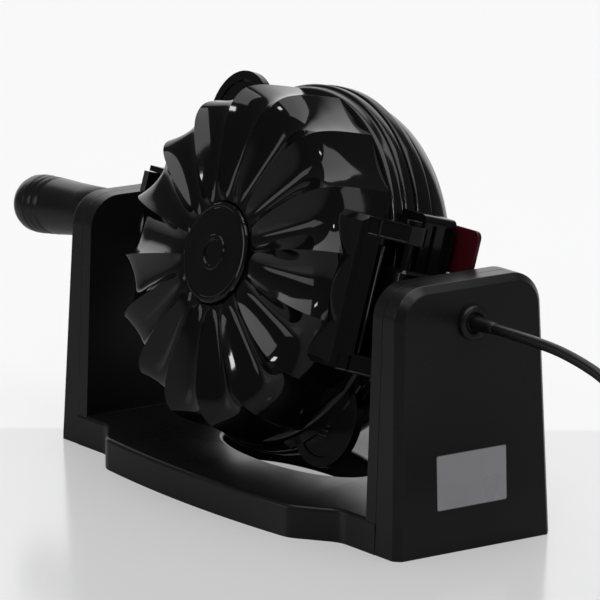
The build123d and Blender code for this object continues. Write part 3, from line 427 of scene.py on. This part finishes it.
def seat():
    """Where the cooker's own frame stands in the rest pose: tilted, on the flip axis."""
    height = bpy.context.scene.cake_stand.axis_height
    return Matrix.Translation((0.0, 0.0, height)) @ Matrix.Rotation(-TILT, 4, "X")


def facing_front():
    """Turns a lathe's upright axis towards the flutes."""
    return Matrix.Rotation(math.radians(90.0), 4, "X")


def lathe(line, steps, closed=False):
    """A bmesh turned about the upright axis from (radius, height) points in mm."""
    bm = bmesh.new()
    verts = [bm.verts.new((bare(r), 0.0, bare(h))) for r, h in line]
    edges = [bm.edges.new(pair) for pair in zip(verts, verts[1:])]
    if closed:
        edges.append(bm.edges.new((verts[-1], verts[0])))
    bmesh.ops.spin(bm, geom=verts + edges, cent=(0, 0, 0), axis=(0, 0, 1), angle=2 * math.pi,
                   steps=steps, use_merge=True)
    bmesh.ops.remove_doubles(bm, verts=bm.verts, dist=1e-6)
    return bm


def slab(outline, thickness):
    """A flat plate drawn up from an outline in the XY plane."""
    bm = bmesh.new()
    face = bm.faces.new([bm.verts.new((x, y, 0.0)) for x, y in outline])
    up = bmesh.ops.extrude_face_region(bm, geom=[face])
    moved = [v for v in up["geom"] if isinstance(v, bmesh.types.BMVert)]
    bmesh.ops.translate(bm, verts=moved, vec=(0.0, 0.0, thickness))
    bmesh.ops.recalc_face_normals(bm, faces=bm.faces)
    return bm


def bar(low, high, edge):
    """A block between two corners in mm, with softened edges."""
    bm = bmesh.new()
    bmesh.ops.create_cube(bm, size=1.0)
    size = [bare(h - l) for l, h in zip(low, high)]
    middle = [bare(h + l) / 2 for l, h in zip(low, high)]
    bmesh.ops.scale(bm, vec=size, verts=bm.verts)
    bmesh.ops.translate(bm, vec=middle, verts=bm.verts)
    bmesh.ops.bevel(bm, geom=bm.edges[:], offset=bare(edge), segments=2, affect="EDGES",
                    profile=0.5, material=-1)
    return bm


def joined(*parts):
    """Several bmeshes as one."""
    out = bmesh.new()
    for part in parts:
        loose = bpy.data.meshes.new("loose")
        part.to_mesh(loose)
        part.free()
        out.from_mesh(loose)
        bpy.data.meshes.remove(loose)
    return out


def arc(centre, radius, start, end, steps):
    """Points of an arc, angles in radians."""
    return [(centre[0] + radius * math.cos(start + (end - start) * i / steps),
             centre[1] + radius * math.sin(start + (end - start) * i / steps))
            for i in range(steps + 1)]


def rounded_rectangle(width, height, radius, steps=6):
    """The outline of a rectangle with round corners, about its middle."""
    x, y = width / 2 - radius, height / 2 - radius
    out = []
    for k, middle in enumerate(((x, y), (-x, y), (-x, -y), (x, -y))):
        out += arc(middle, radius, k * QUARTER, (k + 1) * QUARTER, steps)
    return out


def shade(bm, sharp=32.0):
    """Smooth faces, with an edge kept sharp where it turns by more than the angle."""
    for f in bm.faces:
        f.smooth = True
    limit = math.radians(sharp)
    for e in bm.edges:
        e.smooth = len(e.link_faces) != 2 or e.calc_face_angle(0.0) < limit


def put(name, bm, body, look, nodes=(), place=None, sharp=32.0):
    """Turns a bmesh into a piece in its place, riding on its body in its finish."""
    if place is not None:
        bmesh.ops.transform(bm, matrix=place, verts=bm.verts)
    shade(bm, sharp)
    mesh = bpy.data.meshes.new(name)
    bm.to_mesh(mesh)
    bm.free()
    mesh.materials.append(finish(look))
    piece = bpy.data.objects.new(name, mesh)
    bpy.context.scene.collection.objects.link(piece)
    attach(piece, body)
    if nodes:
        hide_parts(*nodes)
    return piece


def soften(piece, width=0.0005, segments=2, angle=34.0):
    """Rounds a piece's sharp edges."""
    m = piece.modifiers.new("edges", "BEVEL")
    m.width = width
    m.segments = segments
    m.limit_method = "ANGLE"
    m.angle_limit = math.radians(angle)
    m.harden_normals = True


def thicken(piece, wall):
    """Gives a skin its wall, inwards."""
    m = piece.modifiers.new("wall", "SOLIDIFY")
    m.thickness = wall
    m.offset = -1.0


def merged_copy(cad_node):
    """A bmesh of a CAD node with its loose triangles merged into whole faces."""
    bm = bmesh.new()
    bm.from_mesh(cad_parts[cad_node].data)
    bmesh.ops.remove_doubles(bm, verts=bm.verts, dist=3e-6)
    bmesh.ops.dissolve_limit(bm, angle_limit=math.radians(0.6), verts=bm.verts, edges=bm.edges)
    return bm


def dress(cad_node, look):
    """Gives a CAD node that stays its finish."""
    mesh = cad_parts[cad_node].data
    mesh.materials.clear()
    mesh.materials.append(finish(look))


def smooth_line(rows, parts):
    """Rows of numbers joined by an even curve through them."""
    ends = [rows[0], *rows, rows[-1]]
    out = []
    for four in zip(ends, ends[1:], ends[2:], ends[3:]):
        for i in range(parts):
            t = i / parts
            out.append(tuple(
                0.5 * (2 * q + (r - p) * t + (2 * p - 5 * q + 4 * r - s) * t * t
                       + (3 * q - p - 3 * r + s) * t ** 3)
                for p, q, r, s in zip(*four)))
    return out + [tuple(rows[-1])]


class PieceOperator:
    """What the piece operators share."""

    bl_options = {"REGISTER", "UNDO"}


class CAKE_OT_fluted_shell(PieceOperator, bpy.types.Operator):
    """Make the fluted shell with its hollow valleys and sharp ridges"""

    bl_idname = "cake.fluted_shell"
    bl_label = "Fluted shell"

    def execute(self, context):
        settings = context.scene.cake_shell
        rows = smooth_line(RIDGE_LINE, 5)
        bm = lathe([(r, n) for r, n, _, _ in rows], settings.flutes * settings.steps)
        for v in bm.verts:
            radius, n = math.hypot(v.co.x, v.co.y) / MM, v.co.z / MM
            row = min(rows, key=lambda q: (q[0] - radius) ** 2 + (q[1] - n) ** 2)
            across = math.atan2(v.co.y, v.co.x) * settings.flutes / (2 * math.pi) + 0.5
            t = 2 * (across % 1.0) - 1
            sink, lean = row[2] * (1 - t * t), math.radians(row[3])
            radius -= sink * math.sin(lean)
            n -= sink * math.cos(lean)
            angle = math.atan2(v.co.y, v.co.x)
            v.co = Vector((radius * math.cos(angle), radius * math.sin(angle), n)) * MM
        bmesh.ops.recalc_face_normals(bm, faces=bm.faces)
        piece = put("fluted_half_shell", bm, "lid", "gloss_shell", ("fluted_shell",),
                    seat() @ facing_front(), sharp=27.0)
        thicken(piece, settings.wall)
        soften(piece, 0.0005, 2, 27.0)
        return {"FINISHED"}


class CAKE_OT_hub(PieceOperator, bpy.types.Operator):
    """Make the raised hub disc with its rim line and small ring"""

    bl_idname = "cake.hub"
    bl_label = "Hub disc"

    def execute(self, context):
        bm = lathe(HUB_LINE, 96)
        bmesh.ops.recalc_face_normals(bm, faces=bm.faces)
        put("hub_cap", bm, "lid", "gloss_shell", ("hub_disc",), seat() @ facing_front(),
            sharp=16.0)
        return {"FINISHED"}


class CAKE_OT_bands(PieceOperator, bpy.types.Operator):
    """Make the two stepped bands at the seam"""

    bl_idname = "cake.bands"
    bl_label = "Bands"

    def execute(self, context):
        for name, line, body, cad in (("front_rim", FRONT_BAND_LINE, "lid", "front_band"),
                                      ("rear_rim", REAR_BAND_LINE, "cooker", "rear_band")):
            bm = lathe(line, 192, closed=True)
            bmesh.ops.recalc_face_normals(bm, faces=bm.faces)
            put(name, bm, body, "gloss_trim", (cad,), seat() @ facing_front(), sharp=40.0)
        return {"FINISHED"}


class CAKE_OT_dome(PieceOperator, bpy.types.Operator):
    """Make the smooth rear dome"""

    bl_idname = "cake.dome"
    bl_label = "Dome"

    def execute(self, context):
        settings = context.scene.cake_shell
        steps = 20
        line = []
        for i in range(steps + 1):
            a = QUARTER * i / steps
            line.append((settings.dome_radius / MM * math.cos(a),
                         -(settings.dome_spring + settings.dome_rise * math.sin(a)) / MM))
        line[-1] = (0.0, line[-1][1])
        bm = lathe(line, 128)
        bmesh.ops.recalc_face_normals(bm, faces=bm.faces)
        piece = put("rear_dome", bm, "cooker", "gloss_shell", ("dome_shell",),
                    seat() @ facing_front(), sharp=80.0)
        thicken(piece, settings.wall)
        return {"FINISHED"}


class CAKE_OT_ears(PieceOperator, bpy.types.Operator):
    """Make the two lifting ears with their dished faces and grip ribs"""

    bl_idname = "cake.ears"
    bl_label = "Lifting ears"

    def execute(self, context):
        s = context.scene.cake_ears
        centre = s.reach - s.radius
        band, blend = bare(116.9), bare(9.0)
        # a small round blends the ear into the band on both sides
        away, near = band + blend, s.radius + blend
        along = (centre ** 2 + away ** 2 - near ** 2) / (2 * centre)
        aside = math.sqrt(away ** 2 - along ** 2)
        ear_turn = math.atan2(aside, along - centre)
        band_turn = math.atan2(aside, along)
        outline = arc((centre, 0.0), s.radius, -ear_turn, ear_turn, 48)
        outline += arc((along, aside), blend, ear_turn - math.pi, band_turn - math.pi, 6)[1:]
        outline += arc((0.0, 0.0), band, band_turn, -band_turn, 24)[1:-1]
        outline += arc((along, -aside), blend, math.pi - band_turn, math.pi - ear_turn, 6)[:-1]
        bodies = []
        for sign, turn in ((1, s.angle), (-1, s.angle - math.pi)):
            ear = slab(outline, s.thickness)
            top = max(ear.faces, key=lambda f: f.calc_center_median().z)
            bmesh.ops.inset_region(ear, faces=[top], thickness=bare(1.0), depth=0.0)
            bmesh.ops.inset_region(ear, faces=[top], thickness=bare(5.0), depth=0.0)
            bmesh.ops.inset_region(ear, faces=[top], thickness=bare(0.8), depth=-bare(1.2))
            lift = Matrix.Translation((0.0, 0.0, s.height - s.thickness / 2))
            place = Matrix.Rotation(turn, 4, "Z") @ lift
            bmesh.ops.transform(ear, matrix=place, verts=ear.verts)
            parts = [ear]
            face = (s.height + s.thickness / 2) / MM
            x, w = centre / MM * math.cos(turn), centre / MM * math.sin(turn)
            for k in range(s.ribs):
                up = w + sign * (1.0 + 3.4 * k)
                wide = 7.5 - 0.5 * k
                low, high = (x - wide, up - 0.7, face - 1.8), (x + wide, up + 0.7, face - 0.2)
                parts.append(bar(low, high, 0.5))
            bodies.append(joined(*parts))
        piece = put("lifting_ears", joined(*bodies), "lid", "gloss_trim", ("ears",),
                    seat() @ facing_front(), sharp=30.0)
        soften(piece, 0.0007, 2, 50.0)
        return {"FINISHED"}


class CAKE_OT_side_hinge(PieceOperator, bpy.types.Operator):
    """Soften the side hinge's bracket and block, and add their raised lines"""

    bl_idname = "cake.side_hinge"
    bl_label = "Side hinge"

    def execute(self, context):
        edge = context.scene.cake_stand.edge
        for cad, name, body in (("hinge_bracket", "hinge_bracket_body", "lid"),
                                ("hinge_housing", "hinge_block", "cooker"),
                                ("left_lug", "grip_lug", "cooker"),
                                ("latch_seat", "latch_cheeks", "lid"),
                                ("latch_lever", "latch_hook", "latch"),
                                ("latch_keeper", "latch_ledge", "cooker")):
            bm = merged_copy(cad)
            if cad == "hinge_bracket":
                bm = joined(bm, self.side_plate())
            piece = put(name, bm, body, "gloss_trim", (cad,), sharp=30.0)
            soften(piece, edge, 2, 38.0)
        return {"FINISHED"}

    def side_plate(self):
        """The bar over each knuckle, the spine and the inner line on the bracket's outer corner."""
        outline = [*ARM_CORNERS, *arc(PIN, KNUCKLE_RADIUS, 0.0, QUARTER, 8), ARM_ROOT]
        outwards = Vector((0.72, -0.7, 0.0))
        parts = []
        for low, high in ARM_HEIGHTS:
            block = self.upright_slab(outline, low, high)
            front = max(block.faces, key=lambda f: f.normal.dot(outwards))
            bmesh.ops.inset_region(block, faces=[front], thickness=bare(1.2), depth=0.0)
            bmesh.ops.inset_region(block, faces=[front], thickness=bare(0.5), depth=-bare(1.0))
            parts.append(block)
        spine = self.upright_slab(SPINE, -SPINE_HALF, SPINE_HALF)
        whole = joined(*parts, spine, bar(*INNER_LINE, 0.5))
        bmesh.ops.transform(whole, matrix=seat(), verts=whole.verts)
        return whole

    def upright_slab(self, outline, low, high):
        """A slab of the outline, which is drawn in x and depth, from height low to high."""
        block = slab([(bare(x), bare(y)) for x, y in outline], bare(high - low))
        bottom = min(v.co.z for v in block.verts)
        bmesh.ops.translate(block, vec=(0.0, 0.0, bare(low) - bottom), verts=block.verts)
        bmesh.ops.recalc_face_normals(block, faces=block.faces)
        return block


class CAKE_OT_lamp(PieceOperator, bpy.types.Operator):
    """Make the dark red lamp window"""

    bl_idname = "cake.lamp"
    bl_label = "Lamp window"

    def execute(self, context):
        (x0, w0), (x1, w1) = LAMP_LOW, LAMP_HIGH
        outline = rounded_rectangle(bare(x1 - x0), bare(w1 - w0), bare(LAMP_CORNER))
        bm = slab(outline, bare(LAMP_THICKNESS))
        middle = Matrix.Translation((bare((x0 + x1) / 2), bare(LAMP_BACK + LAMP_THICKNESS),
                                     bare((w0 + w1) / 2)))
        piece = put("lamp_lens", bm, "cooker", "lamp_red", ("lamp_window",),
                    seat() @ middle @ facing_front())
        soften(piece, 0.0006, 3)
        return {"FINISHED"}


class CAKE_OT_grip(PieceOperator, bpy.types.Operator):
    """Make the round grip with its neck, rounded end and faint rings"""

    bl_idname = "cake.grip"
    bl_label = "Grip"

    def execute(self, context):
        s = context.scene.cake_grip
        line = list(GRIP_LINE)
        for k in range(s.rings):
            h = RING_HEIGHT - RING_PITCH * k
            radius = 20.3 - 0.35 * k
            line = [p for p in line if abs(p[1] - h) > 1.3]
            line += [(radius, h - 1.2), (radius - 0.45, h - 0.5), (radius - 0.45, h + 0.5),
                     (radius + 0.02, h + 1.2)]
        line.sort(key=lambda p: p[1])
        bm = lathe(line, 96)
        bmesh.ops.recalc_face_normals(bm, faces=bm.faces)
        along = Vector((-math.cos(s.droop), 0.0, -math.sin(s.droop)))
        turn = along.to_track_quat("Z", "Y").to_matrix().to_4x4()
        root = Matrix.Translation((-s.start, 0.0, context.scene.cake_stand.axis_height))
        put("side_grip", bm, "cooker", "grip_moulding", ("grip",), root @ turn,
            sharp=34.0)
        piece = put("grip_root_collar", merged_copy("grip_collar"), "cooker", "grip_moulding",
                    ("grip_collar",))
        soften(piece, 0.0008, 2)
        return {"FINISHED"}


class CAKE_OT_stand(PieceOperator, bpy.types.Operator):
    """Soften the moulded stand: its base ring, inner panels and outer covers"""

    bl_idname = "cake.stand"
    bl_label = "Stand"

    def execute(self, context):
        edge = context.scene.cake_stand.edge
        for cad, name in (("stand_frame", "stand_moulding_body"), ("left_pillar_cover", "left_cover"),
                          ("right_pillar_cover", "right_cover")):
            piece = put(name, merged_copy(cad), "stand", "stand_moulding", (cad,),
                        sharp=24.0)
            soften(piece, edge, 2, 40.0)
        return {"FINISHED"}


class CAKE_OT_plate(PieceOperator, bpy.types.Operator):
    """Make the bare pale plate on the right-hand cover"""

    bl_idname = "cake.plate"
    bl_label = "Bare plate"

    def execute(self, context):
        s = context.scene.cake_stand
        lean = math.atan2(s.outer_foot - s.outer_top, s.pillar_height)
        width, height = (bare(size) for size in PLATE_SIZE)
        middle = [bare(value) for value in PLATE_MIDDLE]
        margin = bare(FILM_MARGIN)
        face_x = s.outer_foot - (s.outer_foot - s.outer_top) * middle[1] / s.pillar_height
        across, up = Vector((0, 1, 0)), Vector((-math.sin(lean), 0, math.cos(lean)))
        out = across.cross(up)
        place = Matrix((across, up, out)).transposed().to_4x4()
        place.translation = Vector((face_x, middle[0], middle[1])) + out * bare(0.02)
        rim = slab(rounded_rectangle(width, height, bare(1.2), 4), bare(0.16))
        put("bare_plate_edge", rim, "stand", "plate_edge", (), place)
        film = slab(rounded_rectangle(width - margin, height - margin, bare(1.0), 4), bare(0.06))
        lift = Matrix.Translation((0.0, 0.0, bare(0.15)))
        put("bare_plate", film, "stand", "plate_film", (), place @ lift)
        return {"FINISHED"}


class CAKE_OT_inner_pieces(PieceOperator, bpy.types.Operator):
    """Give the pans, elements, shafts, bushes and small pieces their finishes"""

    bl_idname = "cake.inner_pieces"
    bl_label = "Inner pieces"

    def execute(self, context):
        for look, cads in (
                ("pan_coat", ("fluted_pan", "dome_pan")),
                ("element_tube", ("front_heater", "dome_heater")),
                ("control_can", ("front_thermostat", "dome_thermostat")),
                ("rod_ceramic", ("front_thermostat_rod", "dome_thermostat_rod")),
                ("black_steel", ("hinge_pin",)),
                ("turned_steel", ("latch_pin", "left_shaft", "right_shaft", "left_clip",
                                  "right_clip", "base_screws")),
                ("bush_nylon", ("left_bush", "right_bush")),
                ("foot_rubber", ("rubber_feet",)),
                ("terminal_nylon", ("terminal_block",)),
                ("stand_moulding", ("base_cover",))):
            for cad in cads:
                dress(cad, look)
        return {"FINISHED"}


def coil_points(s):
    """Points round each half turn: in along the table, up a layer, and out again, in metres."""
    points = []
    z = s.diameter / 2
    x, side = s.coil_radius + s.coil_step * s.lower_halves, 1
    layers = [(s.coil_radius + s.coil_step * (s.lower_halves - k - 0.5), 0.0)
              for k in range(s.lower_halves)]
    layers.append((s.coil_radius, s.coil_layer))
    layers += [(s.coil_radius + s.coil_step * (k + 0.5), 0.0) for k in range(s.lower_halves - 1)]
    steps = 9
    # the curve runs inside its points, so they stand a little further out
    swell = 2 - math.cos(math.pi / steps / 2)
    for radius, rise in layers:
        centre = x - side * radius
        for i in range(steps):
            a = math.pi * (i + 0.5) / steps
            points.append((centre + side * radius * swell * math.cos(a),
                           side * radius * swell * math.sin(a), z + rise * (i + 0.5) / steps))
        x, side, z = centre - side * radius, -side, z + rise
    return points, (x, z)


class CAKE_OT_lead(PieceOperator, bpy.types.Operator):
    """Make the mains lead with its coil, its gland and its plug"""

    bl_idname = "cake.lead"
    bl_label = "Mains lead"

    def execute(self, context):
        s = context.scene.cake_lead
        turns, (x, z) = coil_points(s)
        place = Vector((s.coil_x, s.coil_y, 0.0))
        points = [Vector(p) * MM for p in LEAD_OUT]
        points += [place + Vector(p) for p in turns]
        points += [place + Vector((x + bare(dx), bare(dy), z + bare(dz))) for dx, dy, dz in LEAD_TAIL]
        curve = bpy.data.curves.new("mains_lead_run", "CURVE")
        curve.dimensions = "3D"
        curve.resolution_u = 8
        curve.bevel_depth = s.diameter / 2
        curve.bevel_resolution = 5
        curve.use_fill_caps = True
        spline = curve.splines.new("NURBS")
        spline.points.add(len(points) - 1)
        for point, co in zip(spline.points, points):
            point.co = (*co, 1.0)
        spline.order_u = 3
        spline.use_endpoint_u = True
        curve.materials.append(finish("lead_sheath"))
        lead = bpy.data.objects.new("mains_lead_run", curve)
        context.scene.collection.objects.link(lead)
        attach(lead, "stand")
        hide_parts("mains_lead", "lead_coil", "lead_tail")
        plug = put("two_pin_plug", merged_copy("mains_plug"), "stand", "lead_sheath",
                   ("mains_plug",), sharp=34.0)
        soften(plug, 0.0009, 2, 40.0)
        plug.data.materials.append(finish("turned_steel"))
        pins_from = max(v.co.y for v in plug.data.vertices) - bare(PLUG_PINS)
        for f in plug.data.polygons:
            if min(plug.data.vertices[i].co.y for i in f.vertices) > pins_from:
                f.material_index = 1
        bm = lathe(GLAND_LINE, 64, closed=True)
        bmesh.ops.recalc_face_normals(bm, faces=bm.faces)
        place = Matrix.Translation((bare(GLAND_FOOT), 0.0, context.scene.cake_stand.axis_height))
        put("lead_gland", bm, "stand", "lead_sheath", ("cord_gland",),
            place @ Matrix.Rotation(math.radians(90.0), 4, "Y"), sharp=40.0)
        return {"FINISHED"}


class CAKE_OT_stage(PieceOperator, bpy.types.Operator):
    """Make the pale table, the light and the camera"""

    bl_idname = "cake.stage"
    bl_label = "Studio"

    def execute(self, context):
        s = context.scene.cake_studio
        scene = context.scene
        self.table(s)
        self.lamps(s)
        self.room(s)
        data = bpy.data.cameras.new("camera")
        data.lens = s.lens
        data.sensor_width = 36.0
        data.clip_start, data.clip_end = 0.1, 50.0
        camera = bpy.data.objects.new("camera", data)
        scene.collection.objects.link(camera)
        out = Vector((math.sin(s.azimuth) * math.cos(s.elevation),
                      -math.cos(s.azimuth) * math.cos(s.elevation), math.sin(s.elevation)))
        target = Vector([bare(value) for value in CAMERA_TARGET])
        turn = (-out).to_track_quat("-Z", "Y").to_matrix().to_4x4() @ Matrix.Rotation(s.roll, 4, "Z")
        camera.matrix_world = Matrix.Translation(target + out * s.distance) @ turn
        scene.camera = camera
        scene.view_settings.view_transform = "Standard"
        return {"FINISHED"}

    def table(self, s):
        """A wide pale top with a soft sheen."""
        bm = bmesh.new()
        bmesh.ops.create_grid(bm, x_segments=2, y_segments=2, size=TABLE_REACH)
        mesh = bpy.data.meshes.new("table_top")
        bm.to_mesh(mesh)
        bm.free()
        top = bpy.data.objects.new("table_top", mesh)
        bpy.context.scene.collection.objects.link(top)
        look = make_finish("table_sheen", s.floor_colour, 0.16, mottle=(1.5, 0.015))
        self.whiten(s, look)
        mesh.materials.append(look)

    def whiten(self, s, look):
        """Lift the table towards white for the camera's own rays, a little more past its back edge."""
        tree = look.node_tree
        along = self.along_view(tree, s, "Object", 0.0)
        lift = ranged(tree, along, s.table_lift, s.backdrop_lift, *BACK_EDGE)
        rays = node(tree, "ShaderNodeLightPath")
        seen = node(tree, "ShaderNodeMath", operation="MULTIPLY")
        tree.links.new(rays.outputs["Is Camera Ray"], seen.inputs[0])
        tree.links.new(lift, seen.inputs[1])
        shader = tree.nodes["Principled BSDF"]
        shader.inputs["Emission Color"].default_value = (1.0, 1.0, 1.0, 1.0)
        tree.links.new(seen.outputs["Value"], shader.inputs["Emission Strength"])

    def along_view(self, tree, s, coordinate, upwards):
        """How far a point or a direction lies along the level view, with a share of its height."""
        place = node(tree, "ShaderNodeTexCoord")
        along = node(tree, "ShaderNodeVectorMath", operation="DOT_PRODUCT")
        along.inputs[1].default_value = (-math.sin(s.azimuth), math.cos(s.azimuth), upwards)
        tree.links.new(place.outputs[coordinate], along.inputs[0])
        return along.outputs["Value"]

    def lamps(self, s):
        """Soft lamps: one overhead, two dim screens in front and one small window."""
        for name, power, where, size, aim in (
                ("top_lamp", s.top_power, (0.1, 0.1, 2.2), (2.2, 2.2), (0.0, 0.0, 0.0)),
                ("left_screen", s.left_power, (-1.15, -2.1, 0.80), (0.85, 0.9), FACE_TARGET),
                ("right_screen", s.right_power, (2.2, 0.6, 1.0), (1.0, 1.2), FACE_TARGET),
                ("window_lamp", s.spot_power, (0.9, -0.9, 1.7), (0.22, 0.22), FACE_TARGET)):
            data = bpy.data.lights.new(name, "AREA")
            data.shape = "RECTANGLE"
            data.size, data.size_y = size
            data.energy = power
            lamp = bpy.data.objects.new(name, data)
            bpy.context.scene.collection.objects.link(lamp)
            here = Vector(where)
            turn = (Vector(aim) - here).to_track_quat("-Z", "Y").to_matrix().to_4x4()
            lamp.matrix_world = Matrix.Translation(here) @ turn

    def room(self, s):
        """A studio room: white behind the object and dim on the camera's side."""
        world = bpy.data.worlds.new("studio")
        bpy.context.scene.world = world
        world.use_nodes = True
        tree = world.node_tree
        background = tree.nodes["Background"]
        background.inputs["Color"].default_value = (1.0, 1.0, 1.0, 1.0)
        along = self.along_view(tree, s, "Generated", 0.25)
        depth = ranged(tree, along, s.room, s.behind, *ROOM_TURN)
        rays = node(tree, "ShaderNodeLightPath")
        seen = node(tree, "ShaderNodeMix")
        seen.inputs["B"].default_value = s.backdrop
        tree.links.new(rays.outputs["Is Camera Ray"], seen.inputs["Factor"])
        tree.links.new(depth, seen.inputs["A"])
        tree.links.new(seen.outputs["Result"], background.inputs["Strength"])


class CAKE_PT_panel(bpy.types.Panel):
    """Lists the pieces of the cake maker"""

    bl_idname = "CAKE_PT_panel"
    bl_label = "Cake Maker"
    bl_space_type = "VIEW_3D"
    bl_region_type = "UI"
    bl_category = "Cake Maker"

    def draw(self, context):
        for made in OPERATORS:
            self.layout.operator(made.bl_idname, text=made.bl_label)


OPERATORS = (
    CAKE_OT_stage, CAKE_OT_lead, CAKE_OT_stand, CAKE_OT_plate, CAKE_OT_fluted_shell, CAKE_OT_hub,
    CAKE_OT_bands, CAKE_OT_dome, CAKE_OT_ears, CAKE_OT_side_hinge, CAKE_OT_lamp, CAKE_OT_grip,
    CAKE_OT_inner_pieces,
)


def register():
    """Registers the settings, operators and panel."""
    for name, group in SETTINGS:
        bpy.utils.register_class(group)
        setattr(bpy.types.Scene, "cake_" + name, PointerProperty(type=group))
    for made in (*OPERATORS, CAKE_PT_panel):
        bpy.utils.register_class(made)


def unregister():
    """Removes the settings, operators and panel."""
    for made in reversed((*OPERATORS, CAKE_PT_panel)):
        bpy.utils.unregister_class(made)
    for name, group in reversed(SETTINGS):
        delattr(bpy.types.Scene, "cake_" + name)
        bpy.utils.unregister_class(group)


def main():
    """Builds everything in order."""
    register()
    for made in OPERATORS:
        family, name = made.bl_idname.split(".")
        getattr(getattr(bpy.ops, family), name)()


if __name__ == "__main__":
    main()
